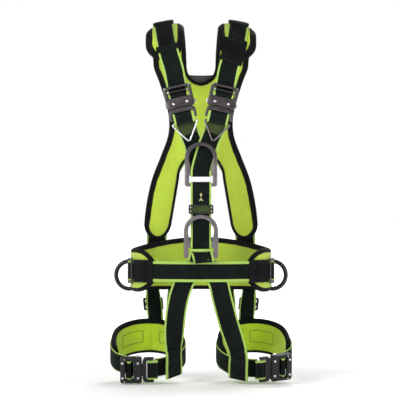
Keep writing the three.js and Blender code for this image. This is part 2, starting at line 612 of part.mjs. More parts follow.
for (const [side, name] of SIDES) {
  // ---- chest buckle and the strap from it to the chest ring
  const tilt = degrees(CHEST_BUCKLE.tilt);
  const frame = frameOn(torso, side * CHEST_BUCKLE.x, chest(CHEST_BUCKLE.z), CHEST_BUCKLE.out,
    [-side * Math.sin(tilt), Math.cos(tilt)]);
  const group = addBuckle(`${name}_chest`, CHEST_BUCKLE, frame);
  const layer = side > 0 ? WEB.thick + 1.2 : 0;
  const chestPath = [
    [42, chest(596), 0], [34.5, chest(568), 0], [25, chest(543), layer / 2],
    [15.5, chest(518), layer], [5, chest(466), layer],
  ].map(([x, s, out]) => [side * x, s, out]);
  add(`${name}_chest_strap`, ribbon(torso, chestPath, WEB.width, WEB.thick, 10), WEBBING);

  // ---- wire triangle hanging from the tongue's loop
  const corners = [[0, -WIRE.half], [0, WIRE.half], [WIRE.deep, 0]];
  const triangle = roundedOutline(corners, WIRE.corner);
  const wire = closedBar(triangle, WIRE.bar / 2, 6, 30).rotateY(-degrees(WIRE.lean));
  add(`${name}_wire_ring`, wire.translate(WIRE.along, 0, WIRE.out), SILVER, group);

  // ---- belt adjuster and side ring
  const adjuster = frameOn(belt, side * BELT_ADJUSTER_ANGLE, BELT.z, ON_BELT + SLIDER_OUT,
    [side, 0]);
  add(`${name}_belt_adjuster`, slider(ADJUSTER.wide, ADJUSTER.high), BLACK_METAL, station(adjuster));
  const barOut = ON_BELT + WEB.thick / 2 + CLEAR + SIDE_RING.bar / 2;
  const barAt = belt(side * SIDE_RING.angle, SIDE_RING.z, barOut);
  const ringOutline = new THREE.Shape();
  const ringHalf = SIDE_RING.high / 2;
  const { corner } = SIDE_RING;
  ringOutline.moveTo(0, -ringHalf + corner);
  ringOutline.lineTo(0, ringHalf - corner);
  ringOutline.quadraticCurveTo(0, ringHalf, corner, ringHalf);
  ringOutline.ellipse(0, -ringHalf, SIDE_RING.deep - corner, ringHalf, Math.PI / 2, -Math.PI / 2,
    true);
  ringOutline.quadraticCurveTo(0, -ringHalf, 0, -ringHalf + corner);
  const ring = closedBar(ringOutline, SIDE_RING.bar / 2, 8, 32);
  const stand = new THREE.Matrix4().makeBasis(
    vector(side, 0, 0), vector(0, 0, 1), vector(0, -side, 0)).setPosition(barAt);
  add(`${name}_side_ring`, ring, BLACK_METAL, station(stand));

  // ---- leg loop
  const leg = legOf(side);
  const padCenter = 180 + (LEG_PAD.outboard - LEG_PAD.inboard) / 2;
  const padReach = padCenter - LEG_PAD.outboard;
  const legPadEdges = (angle) => {
    const toEnd = padReach - Math.abs(angle - padCenter);
    const half = THREE.MathUtils.lerp(LEG_PAD.endHalf, LEG_PAD.half,
      THREE.MathUtils.smoothstep(toEnd, 0, 55)) * roundEnd(toEnd * 1.4 + 6, 24);
    return [-half, half];
  };
  add(`${name}_leg_pad`, band(leg, LEG_PAD.outboard, 360 - LEG_PAD.inboard, legPadEdges,
    PAD_THICK, 26, 2), LIME);
  const overPad = (angle) => {
    const fromFront = Math.min(angle, 360 - angle);
    const rise = THREE.MathUtils.smoothstep(fromFront, ...THIGH_STRAP.rise);
    return THREE.MathUtils.lerp(THIGH_STRAP.out, ON_PAD, rise);
  };
  const thigh = bent(34, 1, 1, (u, v, w) => {
    const angle = THREE.MathUtils.lerp(THIGH_STRAP.from, THIGH_STRAP.to, u);
    return leg(angle, (v - 0.5) * WEB.width, overPad(angle) + (w - 0.5) * WEB.thick);
  });
  add(`${name}_thigh_strap`, thigh, WEBBING);
  const legFrame = frameOn(leg, LEG_BUCKLE.angle, 0, LEG_BUCKLE.out, [-1, 0]);
  legFrame.multiply(new THREE.Matrix4().makeRotationY(degrees(LEG_BUCKLE.yaw)));
  addBuckle(`${name}_leg`, LEG_BUCKLE, legFrame);

  // ---- front leg strap from the ventral ring to the leg loop
  const foot = FRONT_STRAP_FOOT;
  const footNormal = leg(foot.angle, 0, foot.out + 1).sub(leg(foot.angle, 0, foot.out));
  const behindBelt = side > 0 ? 3 : -1;
  const legRows = [[5, 268], [9.5, 243], [14, 221]].map(([angle, z]) =>
    [belt(side * angle, z, behindBelt), belt(side * angle, z, 1).sub(belt(side * angle, z, 0))]);
  const between = side > 0 ? [[46, -103, 184], [60, -94, 131]] : [[49, -101, 184], [57, -92, 131]];
  legRows.push(...between.map(([x, y, z]) => [vector(side * x, y, z), FORWARD]));
  for (const height of foot.heights) {
    legRows.push([leg(foot.angle, height, foot.out), footNormal.clone()]);
  }
  add(`${name}_leg_front_strap`, strap(legRows, WEB.width, WEB.thick, 20), WEBBING);

  // ---- riser and seat strap from the belt to the back of the leg pad
  const turn = side < 0 ? LEG_TURN.right : LEG_TURN.left;
  const hung = ({ beltAngle, legAngle }) => [
    ...STRAP_ENDS.belt.map((z) => [belt(side * beltAngle, z, ON_BELT),
      belt(side * beltAngle, z, 1).sub(belt(side * beltAngle, z, 0))]),
    ...STRAP_ENDS.leg.map((height) => [
      leg(legAngle - turn, height, ON_PAD + STRAP_ENDS.legLift),
      leg(legAngle - turn, height, 1).sub(leg(legAngle - turn, height, 0))]),
  ];
  const riserRows = hung(RISER);
  add(`${name}_riser`, strap(riserRows, RISER_WIDTH, WEB.thick, 10), WEBBING);
  add(`${name}_seat_strap`, strap(hung(SEAT), SEAT_WIDTH, WEB.thick, 10), WEBBING);

  const riserFrame = frameOnStrap(riserRows, 0.5, SLIDER_OUT + RISER_ADJUSTER.lift);
  add(`${name}_riser_adjuster`,
    slider(RISER_ADJUSTER.wide, RISER_ADJUSTER.high, RISER_ADJUSTER.bar), BLACK_METAL,
    station(riserFrame));
}

saddle.position.copy(HANG).negate();
export default saddle;
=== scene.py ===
"""Looks of a tree climbing saddle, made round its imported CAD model.

Shapes are worked out in millimetres in the maker's frame: +Z up, front of the wearer at -Y, wearer's
right at -X. Shell.make() moves them to the row frame, in metres.
"""
import json
import math

import bmesh
import bpy
import numpy as np
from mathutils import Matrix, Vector
from mathutils.geometry import delaunay_2d_cdt


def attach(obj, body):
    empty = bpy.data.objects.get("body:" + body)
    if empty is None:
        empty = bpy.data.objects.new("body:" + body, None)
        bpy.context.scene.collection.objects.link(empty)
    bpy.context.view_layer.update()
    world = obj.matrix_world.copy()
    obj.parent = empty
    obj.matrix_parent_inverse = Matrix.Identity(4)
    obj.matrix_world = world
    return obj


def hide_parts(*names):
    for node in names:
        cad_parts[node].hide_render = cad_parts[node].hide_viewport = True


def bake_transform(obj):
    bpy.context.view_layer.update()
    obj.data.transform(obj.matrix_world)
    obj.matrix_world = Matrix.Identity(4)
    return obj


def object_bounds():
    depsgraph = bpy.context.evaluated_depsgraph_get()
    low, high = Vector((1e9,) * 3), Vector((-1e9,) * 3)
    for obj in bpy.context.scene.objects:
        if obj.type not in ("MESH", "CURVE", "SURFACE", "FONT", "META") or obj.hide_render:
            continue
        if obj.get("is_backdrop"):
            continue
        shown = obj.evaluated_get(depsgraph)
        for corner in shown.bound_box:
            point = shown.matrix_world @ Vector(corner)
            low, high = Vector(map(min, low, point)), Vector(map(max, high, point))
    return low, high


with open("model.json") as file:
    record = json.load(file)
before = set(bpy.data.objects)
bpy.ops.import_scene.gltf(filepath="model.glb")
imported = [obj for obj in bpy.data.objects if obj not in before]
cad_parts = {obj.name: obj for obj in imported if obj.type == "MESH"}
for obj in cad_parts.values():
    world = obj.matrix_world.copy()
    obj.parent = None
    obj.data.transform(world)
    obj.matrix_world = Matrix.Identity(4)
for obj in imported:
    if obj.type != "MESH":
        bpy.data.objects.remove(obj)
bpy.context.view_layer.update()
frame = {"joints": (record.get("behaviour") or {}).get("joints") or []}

# ---------------------------------------------------------------- sizes shared with the CAD model
WEB, THICK = 45.0, 2.4
RISER_WIDTH, SEAT_WIDTH = 36.0, 30.0
CLEAR = 0.4
PAD_THICK, BELT_THICK = 10.0, 12.0
ON_PAD = PAD_THICK / 2 + 1.1 + THICK / 2
ON_BELT = BELT_THICK / 2 + CLEAR + THICK / 2
SLIDER_OUT = 3.7

# how finely things are drawn, in mm unless it says otherwise
CURVE_STEPS = 40  # points for each stretch of a smooth curve
WEB_CELLS = 8  # faces across webbing
CELL = 4.6  # the side of a triangle in a pad
RIM, ROLL = 3.2, 14.0  # a pad's thickness at its edge, and how far in it takes to fill out
SEAM_DIP = ((2.6, 1.6), (1.0, 8))  # depth and width of a sewn line's groove, and of the dip round it
PUFF_FRAMES, PUFF_CAP = 12, 0.0032  # steps of the cloth simulation, and its largest move in metres
STITCH_FILL = 0.78  # the share of a stitch's pitch that shows
MARK_THICK = 0.35
PLATE_SHARP = 28  # degrees beyond which an edge of plate stays sharp

TORSO_PROFILE = [
    (106, 230), (100, 330), (97, 420), (93, 500), (87, 580), (80, 645), (68, 700), (46, 752),
    (14, 786), (-10, 792), (-38, 774), (-57, 738), (-70, 695), (-83, 645), (-93, 600), (-99, 555),
    (-102, 515), (-105, 460),
]
BODY_ROUND = 0.0011
PAD_OUTER = [
    (311, 124), (342, 127), (395, 121), (448, 109), (500, 89), (545, 73), (585, 71), (625, 80),
    (665, 92), (712, 109), (770, 122),
]
PAD_TIP = {"z": 311, "round": 31}
CROTCH = {"top": 505, "foot": 448, "half": 51, "end_z": 330, "end_half": 71}
NECK = {"bottom": 663, "top": 702, "half": 34}
SEAM_Z = 700
LOBE = {"center": 80, "half": 41, "end": 709, "round": 42}

BELT = {"rx": 150, "ry": 108, "z": 243}
BELT_PAD = {"low": 198, "back_high": 314, "side_high": 291, "tip_angle": 40, "tip_round": 62}
BELT_MM_PER_DEGREE = 2.3

LEG = {"x": 118, "rx": 76, "ry": 83, "z": 62, "tilt": 22}
LEG_PAD = {"half": 41, "end_half": 27, "outboard": 62, "inboard": 72}
LEG_TURN = {-1: 0, 1: 16}

CHEST_RING = {
    "hinge": (0, -124, 444), "lean": 6, "width": 70.5, "top": 82, "bottom": -15.5, "arch": 9,
    "thick": 6.4, "eye_low": 15, "eye_half": 21.5, "slot_half": 25.5, "notch": 0,
}
VENTRAL_RING = {
    "hinge": (0, -126, 290), "lean": 4, "width": 75, "top": 78, "bottom": -17, "arch": 9.5,
    "thick": 6.4, "eye_low": 14, "eye_half": 24, "slot_half": 23, "slot_high": 11, "notch": 4,
}
DORSAL_RING = {
    "z": 588, "out": 17, "width": 62, "top": 60, "bottom": -4.4, "arch": 9, "thick": 6,
    "eye_low": 4.4, "eye_half": 22,
}
SIDE_RING = {"angle": 110, "bar": 9.5, "high": 62, "deep": 37, "z": 231}
WIRE = {"bar": 4, "half": 29, "deep": 46, "along": 33, "out": 1.9, "lean": 4}

CHEST_BUCKLE = {
    "x": 43, "z": 600, "out": 3, "tilt": 13, "length": 50, "window": (-45, -23), "bar": -38,
    "blade": 8.5, "loop": 26, "rivets": [(-10, 15)],
}
LEG_BUCKLE = {
    "angle": 8, "out": 4, "yaw": 10, "length": 48, "window": (-37, -19), "bar": -28,
    "blade": 14, "loop": 24, "rivets": [(-43, 18), (-9, 18)],
}
BUCKLE = {"half": 31, "thick": 11, "corner": 7, "cavity": (3.2, 7.6), "cavity_half": 17.5}
SIDES = ((-1, "right"), (1, "left"))

chest_joint = next(j for j in frame["joints"] if j["name"] == "chest_ring_tilt")
HANG = np.array(CHEST_RING["hinge"], float) - 1000 * np.array(chest_joint["pos_m"])


# ---------------------------------------------------------------- curves and surfaces
def unit(vectors):
    return vectors / np.maximum(np.linalg.norm(vectors, axis=-1, keepdims=True), 1e-12)


def stack(*parts):
    return np.stack(np.broadcast_arrays(*parts), -1).astype(float)


def smoothstep(value, low, high):
    t = np.clip((np.asarray(value, float) - low) / (high - low), 0, 1)
    return t * t * (3 - 2 * t)


def lerp(a, b, t):
    return a + (b - a) * t


def catmull(points):
    """Dense points of the centripetal Catmull-Rom curve through the points."""
    p = np.array(points, float)
    p = np.vstack([2 * p[0] - p[1], p, 2 * p[-1] - p[-2]])
    t = np.linspace(0, 1, CURVE_STEPS, endpoint=False)[:, None]
    rows = []
    for i in range(1, len(p) - 2):
        d0, d1, d2 = (np.linalg.norm(p[i + k + 1] - p[i + k]) ** 0.5 for k in (-1, 0, 1))
        d1 = d1 if d1 > 1e-4 else 1.0
        d0, d2 = (d if d > 1e-4 else d1 for d in (d0, d2))
        leave = (p[i] - p[i - 1]) / d0 - (p[i + 1] - p[i - 1]) / (d0 + d1) + (p[i + 1] - p[i]) / d1
        reach = (p[i + 1] - p[i]) / d1 - (p[i + 2] - p[i]) / (d1 + d2) + (p[i + 2] - p[i + 1]) / d2
        m1, m2 = leave * d1, reach * d1
        rows.append(
            p[i] + m1 * t + (-3 * p[i] + 3 * p[i + 1] - 2 * m1 - m2) * t**2
            + (2 * p[i] - 2 * p[i + 1] + m1 + m2) * t**3
        )
    return np.vstack(rows + [p[-2:-1]])


class Path:
    """A smooth curve through points, read by its arc length as a fraction from 0 to 1."""

    def __init__(self, points, smooth=True):
        self.dense = catmull(points) if smooth else np.array(points, float)
        steps = np.linalg.norm(np.diff(self.dense, axis=0), axis=1)
        self.place = np.concatenate([[0], np.cumsum(steps)])
        self.length = self.place[-1]

    def at(self, u, values=None):
        values = self.dense if values is None else values
        where = np.asarray(u, float) * self.length
        return stack(*(np.interp(where, self.place, column) for column in values.T))

    def along(self, u, reach=1.5):
        step = reach / self.length
        return unit(self.at(np.clip(u + step, 0, 1)) - self.at(np.clip(u - step, 0, 1)))


def resample(points, step, closed=False):
    """Evenly spaced points along a polyline."""
    points = np.asarray(points, float)
    path = Path(np.vstack([points, points[:1]]) if closed else points, smooth=False)
    count = max(int(round(path.length / step)), 2)
    return path.at(np.arange(count) / count if closed else np.linspace(0, 1, count + 1))


TORSO = Path(TORSO_PROFILE)
CREST = int(TORSO.dense[:, 1].argmax())
crest = TORSO.place[CREST]


def back(z):
    """Distance along the torso profile at height z on the back."""
    return np.interp(z, TORSO.dense[: CREST + 1, 1], TORSO.place[: CREST + 1])


def chest(z):
    """Distance along the torso profile at height z on the chest."""
    return np.interp(-np.asarray(z, float), -TORSO.dense[CREST:, 1], TORSO.place[CREST:])


def torso(x, s, out):
    x, s, out = np.broadcast_arrays(*(np.asarray(v, float) for v in (x, s, out)))
    at, along = TORSO.at(s / TORSO.length), TORSO.along(s / TORSO.length)
    offset = out - BODY_ROUND * x * x
    return stack(x, at[..., 0] + along[..., 1] * offset, at[..., 1] - along[..., 0] * offset)


class Oval:
    """An ellipse read by arc length from its front, positive towards +X."""

    def __init__(self, rx, ry):
        self.rx, self.ry = rx, ry
        self.angles = np.linspace(-math.tau, 2 * math.tau, 4321)
        points = stack(rx * np.sin(self.angles), -ry * np.cos(self.angles))
        steps = np.linalg.norm(np.diff(points, axis=0), axis=1)
        self.place = np.concatenate([[0], np.cumsum(steps)])
        self.place -= np.interp(0, self.angles, self.place)

    def arc(self, degrees):
        return np.interp(np.radians(degrees), self.angles, self.place)

    def degrees(self, arc):
        return np.degrees(np.interp(arc, self.place, self.angles))

    def point(self, arc, out):
        angle = np.interp(arc, self.place, self.angles)
        sine, cosine = np.sin(angle), np.cos(angle)
        normal = unit(stack(sine / self.rx, -cosine / self.ry))
        return self.rx * sine + normal[..., 0] * out, -self.ry * cosine + normal[..., 1] * out


waist, thigh = Oval(BELT["rx"], BELT["ry"]), Oval(LEG["rx"], LEG["ry"])


def belt(arc, z, out):
    arc, z, out = np.broadcast_arrays(*(np.asarray(v, float) for v in (arc, z, out)))
    x, y = waist.point(arc, out)
    return stack(x, y, z)


def leg_of(side):
    """The surface of a thigh: arc from the front, positive outboard, height across the band, out."""
    turn, tilt = thigh.arc(LEG_TURN[side]), math.radians(LEG["tilt"])

    def leg(arc, height, out):
        arc, height, out = np.broadcast_arrays(*(np.asarray(v, float) for v in (arc, height, out)))
        x, depth = thigh.point(arc + turn, out)
        return stack(
            side * (LEG["x"] + x),
            depth * math.cos(tilt) - height * math.sin(tilt),
            LEG["z"] + depth * math.sin(tilt) + height * math.cos(tilt),
        )

    return leg


def leg_arc(side, degrees):
    return thigh.arc(degrees + LEG_TURN[side]) - thigh.arc(LEG_TURN[side])


class Place:
    """A rigid local frame: its axes as columns, its origin, all in mm."""

    def __init__(self, x, z, origin):
        self.x = unit(np.asarray(x, float))
        z = np.asarray(z, float)
        self.z = unit(z - self.x * np.dot(z, self.x))
        self.y = np.cross(self.z, self.x)
        self.origin = np.asarray(origin, float)

    def put(self, points):
        axes = np.stack([self.x, self.y, self.z])
        return np.asarray(points, float) @ axes + self.origin

    def turned(self, degrees):
        """The frame turned about its own Y axis."""
        c, s = math.cos(math.radians(degrees)), math.sin(math.radians(degrees))
        return Place(self.x * c - self.z * s, self.x * s + self.z * c, self.origin)


def place_on(surface, a, b, out, heading):
    """A frame standing on a surface: +X along the heading, +Z outwards."""
    step = 0.5
    x = (surface(a + step, b, out) - surface(a - step, b, out)) * heading[0]
    x = x + (surface(a, b + step, out) - surface(a, b - step, out)) * heading[1]
    return Place(x, surface(a, b, out + 1) - surface(a, b, out - 1), surface(a, b, out))


# ---------------------------------------------------------------- meshes
class Shell:
    """Closed skins gathered for one object. Pattern coordinates are (along, across) in mm."""

    def __init__(self):
        self.points, self.pattern, self.faces, self.paint, self.count = [], [], [], [], 0

    def add(self, points, faces, pattern, paint=0):
        points = np.asarray(points, float).reshape(-1, 3)
        pattern = np.asarray(pattern, float).reshape(-1, 2)
        self.points.append(points)
        self.pattern.append(pattern)
        self.faces += [tuple(int(i) + self.count for i in face) for face in faces]
        self.paint += [paint] * len(faces) if np.isscalar(paint) else list(paint)
        self.count += len(points)
        return self

    def loft(self, rows, pattern, closed=False, paint=0):
        """A skin over rows of points, each row a closed section."""
        n, m = rows.shape[:2]
        faces = [
            (i * m + j, i * m + (j + 1) % m, (i + 1) % n * m + (j + 1) % m, (i + 1) % n * m + j)
            for i in range(n if closed else n - 1) for j in range(m)
        ]
        if not closed:
            faces += [tuple(range(m)), tuple(range((n - 1) * m, n * m))]
        return self.add(rows, faces, pattern, paint)

    def make(self, name, materials, body=None, nodes=(), slot="webbing", sharp=40):
        mesh = bpy.data.meshes.new(name)
        points = (np.vstack(self.points) - HANG) / 1000
        mesh.from_pydata(points.tolist(), [], self.faces)
        mesh.polygons.foreach_set("material_index", self.paint)
        layer = mesh.uv_layers.new(name="pattern")
        corners = np.empty(len(mesh.loops), np.int32)
        mesh.loops.foreach_get("vertex_index", corners)
        layer.data.foreach_set("uv", (np.vstack(self.pattern) / 1000)[corners].ravel())
        work = bmesh.new()
        work.from_mesh(mesh)
        bmesh.ops.recalc_face_normals(work, faces=work.faces)
        work.to_mesh(mesh)
        work.free()
        mesh.shade_smooth()
        mesh.set_sharp_from_angle(angle=math.radians(sharp))
        for material in materials:
            mesh.materials.append(material)
        piece = bpy.data.objects.new(name, mesh)
        bpy.context.scene.collection.objects.link(piece)
        if nodes:
            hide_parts(*nodes)
        if body:
            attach(piece, body)
        return piece


def web_section(width, thick=THICK):
    """The closed outline (across, out) of webbing, its selvedges rounded."""
    half, r = width / 2, thick / 2
    flat = np.linspace(-half + r, half - r, WEB_CELLS + 1)
    turn = np.radians([60, 20, -20, -60])
    right = stack(half - r + r * np.cos(turn), r * np.sin(turn))
    top = stack(flat, r)
    low = stack(flat[::-1], -r)
    left = stack(-half + r - r * np.cos(turn), -r * np.sin(turn))
    return np.vstack([top, right, low, left])


def on_surface(surface, points):
    """Webbing laid on a surface through points (a, b, out)."""
    path = Path(points)

    def lay(u, across, out):
        at, along = path.at(u), path.along(u)
        side = unit(stack(-along[..., 1], along[..., 0]))
        return surface(
            at[..., 0] + side[..., 0] * across, at[..., 1] + side[..., 1] * across, at[..., 2] + out)

    return lay, path.length


def in_space(rows):
    """Webbing through rows of (point, outward direction)."""
    path = Path([point for point, _ in rows])
    facing = catmull([out for _, out in rows])

    def lay(u, across, out):
        at, along = path.at(u), path.along(u)
        side = unit(np.cross(path.at(u, facing), along))
        normal = np.cross(along, side)
        across, out = np.asarray(across, float)[..., None], np.asarray(out, float)[..., None]
        return at + side * across + normal * out

    return lay, path.length


def in_plane(place, points):
    """Webbing bent in a frame's XZ plane through points (x, z), its width along the frame's Y."""
    path = Path(points)

    def lay(u, side, out):
        at, along = path.at(u), path.along(u, 0.4)
        side, out = np.broadcast_arrays(side, out)
        x = at[..., 0] - along[..., 1] * out
        z = at[..., 1] + along[..., 0] * out
        return place.put(stack(x, side, z))

    return lay, path.length


def web(shell, lay, width=WEB, thick=THICK, step=5.0, span=(0, 1), out=0.0):
    """Adds webbing that a lay function places, from one fraction of its length to another."""
    place, length = lay
    count = max(int(abs(span[1] - span[0]) * length / step), 3)
    u = np.linspace(span[0], span[1], count + 1)[:, None]
    section = web_section(width, thick)
    across, lift = section[None, :, 0], section[None, :, 1]
    # a slight unevenness of real webbing
    ripple = 0.18 * np.sin(u * length / 23 + 1.3) + 0.12 * np.sin(u * length / 9.1)
    return shell.loft(place(u, across, lift + out + ripple), stack(u * length, across))


def stitches(shell, points, normals, pitch=3.6, width=0.75):
    """Adds a row of thread stitches along points that lie on a surface."""
    points, normals = np.asarray(points, float), unit(np.asarray(normals, float))
    path = Path(points, smooth=False)
    count = int(path.length / pitch)
    if count < 1:
        return shell
    u = (np.arange(count) + 0.5) / count
    half = pitch * STITCH_FILL / 2 / path.length
    ends = [path.at(np.clip(u + k * half, 0, 1)) for k in (-1, -0.55, 0.55, 1)]
    up = unit(path.at(u, normals))
    along = unit(ends[3] - ends[0])
    side = np.cross(up, along)
    lift = [-0.25, 0.32, 0.32, -0.25]
    rings = []
    for end, height, scale in zip(ends, lift, (0.35, 1, 1, 0.35)):
        around = [(0, 0.35), (0.5, 0.05), (0, -0.35), (-0.5, 0.05)]
        rings.append(np.stack([
            end + side * (width * a * scale) + up * (height + width * b * scale) for a, b in around
        ], 1))
    rows = np.stack(rings, 1)
    for row in rows:
        shell.loft(row, stack(row[..., 0], row[..., 1]))
    return shell


def inside(points, outline):
    """True where a point lies inside the closed outline."""
    x, y = points[:, None, 0], points[:, None, 1]
    a, b = outline[None], np.roll(outline, -1, 0)[None]
    cross = (a[..., 1] > y) != (b[..., 1] > y)
    at = a[..., 0] + (y - a[..., 1]) * (b[..., 0] - a[..., 0]) / np.where(cross, b[..., 1] - a[..., 1], 1)
    return ((x < at) & cross).sum(1) % 2 == 1


def distance(points, line, closed=False):
    """Distance from each point to a polyline."""
    a = line if closed else line[:-1]
    b = np.roll(line, -1, 0) if closed else line[1:]
    nearest = np.full(len(points), np.inf)
    for first in range(0, len(points), 2000):
        p = points[first:first + 2000, None]
        t = np.clip(((p - a) * (b - a)).sum(-1) / np.maximum(((b - a) ** 2).sum(-1), 1e-9), 0, 1)
        nearest[first:first + 2000] = np.linalg.norm(p - a - (b - a) * t[..., None], axis=-1).min(1)
    return nearest


def plate(shell, contours, low, high, ease, place, rounds=3):
    """Adds a flat plate from z low to high: an outer contour, then its holes, with rounded edges."""
    quarter = np.radians(np.linspace(90, 0, rounds + 1))
    levels = [(ease * (1 - math.cos(a)), high - ease * (1 - math.sin(a))) for a in quarter]
    levels += [(inset, low + high - z) for inset, z in reversed(levels)]
    flats, edges, rings, total = [], [], [], 0
    for k, contour in enumerate(contours):
        contour = np.asarray(contour, float)
        contour = contour[np.linalg.norm(contour - np.roll(contour, 1, 0), axis=1) > 0.3]
        turning = np.sum(np.cross(contour, np.roll(contour, -1, 0)))
        contour = contour if (turning > 0) == (k == 0) else contour[::-1]
        ahead = unit(np.roll(contour, -1, 0) - contour)
        normal = unit(ahead + np.roll(ahead, 1, 0))
        inward = stack(-normal[:, 1], normal[:, 0])
        cosine = np.maximum((ahead * normal).sum(1), 0.5)[:, None]
        rings.append(np.stack([
            np.hstack([contour + inward * inset / cosine, np.full((len(contour), 1), z)])
            for inset, z in levels
        ]))
        flats += [Vector(p[:2]) for p in rings[-1][0]]
        edges += [(total + i, total + (i + 1) % len(contour)) for i in range(len(contour))]
        total += len(contour)
    triangles = delaunay_2d_cdt(flats, edges, [], 1, 1e-6)[2]
    points, faces, start = [], [], 0
    tops, lows = [], []
    for ring in rings:
        n, m = ring.shape[:2]
        points.append(ring.reshape(-1, 3))
        faces += [
            (start + i * m + j, start + i * m + (j + 1) % m,
             start + (i + 1) * m + (j + 1) % m, start + (i + 1) * m + j)
            for i in range(n - 1) for j in range(m)
        ]
        tops += [start + j for j in range(m)]
        lows += [start + (n - 1) * m + j for j in range(m)]
        start += n * m
    flats = np.array([tuple(p) for p in flats])
    middles = np.array([flats[list(triangle)].mean(0) for triangle in triangles])
    solid = ~np.any([inside(middles, ring[0, :, :2]) for ring in rings[1:]] or [[False]], axis=0)
    for triangle, kept in zip(triangles, np.broadcast_to(solid, len(triangles))):
        if kept:
            faces += [tuple(tops[i] for i in triangle), tuple(lows[i] for i in reversed(triangle))]
    points = np.vstack(points)
    return shell.add(place.put(points), faces, points[:, :2])


def rounded(corners, radius, steps=6):
    """A closed outline through corners, each turned by an arc-like curve."""
    corners = np.asarray(corners, float)
    radii = np.broadcast_to(radius, len(corners))
    points = []
    for i, corner in enumerate(corners):
        reach = []
        for other in (corners[i - 1], corners[(i + 1) % len(corners)]):
            way = other - corner
            gap = np.linalg.norm(way)
            reach.append(corner + way / gap * min(radii[i], gap / 2.01))
        t = np.linspace(0, 1, steps + 1)[:, None]
        points.append((1 - t) ** 2 * reach[0] + 2 * t * (1 - t) * corner + t * t * reach[1])
    return np.vstack(points)


def rectangle(x0, x1, y0, y1):
    return [(x0, y0), (x1, y0), (x1, y1), (x0, y1)]


def arc(center, radius, start, end, steps=48):
    angles = np.radians(np.linspace(start, end, steps + 1))
    rx, ry = np.broadcast_to(radius, 2)
    return stack(center[0] + rx * np.cos(angles), center[1] + ry * np.sin(angles))


def bar(shell, outline, radius, place, step, sides):
    """Adds a round bar along a closed flat outline in a frame's XY plane."""
    points = resample(outline, step, closed=True)
    ahead = unit(np.roll(points, -1, 0) - np.roll(points, 1, 0))
    side = stack(ahead[:, 1], -ahead[:, 0])
    turn = np.linspace(0, math.tau, sides, endpoint=False)
    across = points[:, None] + side[:, None] * (radius * np.cos(turn))[None, :, None]
    rows = np.concatenate([across, np.broadcast_to(
        (radius * np.sin(turn))[None, :, None], across.shape[:2] + (1,))], -1)
    length = np.arange(len(points))[:, None] * step
    pattern = stack(length, (radius * turn)[None, :])
    return shell.loft(place.put(rows), pattern, closed=True)


def lathe(shell, profile, place, at=(0, 0), sides=28, axis="z", paint=0):
    """Adds a turned solid: profile rows are (radius, height) along a frame's axis."""
    turn = np.linspace(0, math.tau, sides, endpoint=False)
    rows = []
    for radius, height in profile:
        a, b = radius * np.cos(turn), radius * np.sin(turn)
        local = stack(at[0] + a, at[1] + b, height) if axis == "z" else stack(at[0] + a, height, at[1] + b)
        rows.append(local)
    rows = np.stack(rows)
    return shell.loft(place.put(rows), stack(rows[..., 0], rows[..., 1]), paint=paint)


# ---------------------------------------------------------------- materials
class Finish:
    """A material built up from nodes. Values that never vary go on the shader's own sockets."""

    def __init__(self, name, **sockets):
        self.material = bpy.data.materials.new(name)
        self.material.use_nodes = True
        self.tree = self.material.node_tree
        self.shader = self.tree.nodes["Principled BSDF"]
        for socket, value in sockets.items():
            title = socket.replace("_", " ").title().replace("Ior", "IOR")
            self.shader.inputs[title].default_value = value
        self.where = self.node("TexCoord", output="Object")

    def node(self, kind, *values, output=0, **settings):
        node = self.tree.nodes.new("ShaderNode" + kind)
        for key, value in settings.items():
            setattr(node, key, value)
        for socket, value in zip(node.inputs, values):
            self.feed(socket, value)
        return node.outputs[output]

    def feed(self, socket, value):
        if isinstance(value, bpy.types.NodeSocket):
            self.tree.links.new(value, socket)
        elif value is not None:
            socket.default_value = value

    def math(self, operation, *values):
        return self.node("Math", *values, operation=operation)

    def pattern(self):
        """Pattern coordinates in mm: along and across."""
        flat = self.node("UVMap", uv_map="pattern")
        parts = self.tree.nodes.new("ShaderNodeSeparateXYZ")
        self.tree.links.new(flat, parts.inputs[0])
        return [self.math("MULTIPLY", parts.outputs[k], 1000.0) for k in (0, 1)]

    def wave(self, value, pitch):
        turns = self.math("MULTIPLY", value, math.tau / pitch)
        return self.math("MULTIPLY_ADD", self.math("SINE", turns), 0.5, 0.5)

    def noise(self, size, detail=3.0, rough=0.55, where=None):
        """Noise from 0 to 1 whose features are about size mm across."""
        return self.node("TexNoise", where or self.where, None, 1000.0 / size, detail, rough)

    def span(self, value, low, high, to_low=0.0, to_high=1.0):
        return self.node("MapRange", value, low, high, to_low, to_high)

    def mix(self, factor, a, b):
        node = self.tree.nodes.new("ShaderNodeMix")
        node.data_type = "RGBA"
        for k, value in ((0, factor), (6, a), (7, b)):
            self.feed(node.inputs[k], (*value, 1.0) if isinstance(value, tuple) else value)
        return node.outputs[2]

    def bump(self, height, depth, under=None):
        """A bump of that depth in mm where height goes from 0 to 1."""
        node = self.tree.nodes.new("ShaderNodeBump")
        node.inputs["Distance"].default_value = depth / 1000
        self.feed(node.inputs["Height"], height)
        self.feed(node.inputs["Normal"], under)
        return node.outputs[0]

    def set(self, color=None, roughness=None, normal=None):
        self.feed(self.shader.inputs["Base Color"], color)
        self.feed(self.shader.inputs["Roughness"], roughness)
        self.feed(self.shader.inputs["Normal"], normal)
        return self.material


def shade(color, factor):
    return tuple(min(channel * factor, 1.0) for channel in color)


LIME = (0.49, 0.64, 0.055)
EDGE_LIME = (0.40, 0.60, 0.13)
BLACK_WEB = (0.0045, 0.0068, 0.0058)
BLACK_CLOTH = (0.0045, 0.0052, 0.0050)
OLIVE = (0.032, 0.043, 0.015)
GREY_WEB = (0.10, 0.10, 0.105)
# painted shade: the dark colour that the satin steels' edges and scratches turn to, standing in for the dark
# rim that grazing reflections give
PAINTED_DARK_RIM = (0.018, 0.016, 0.017)


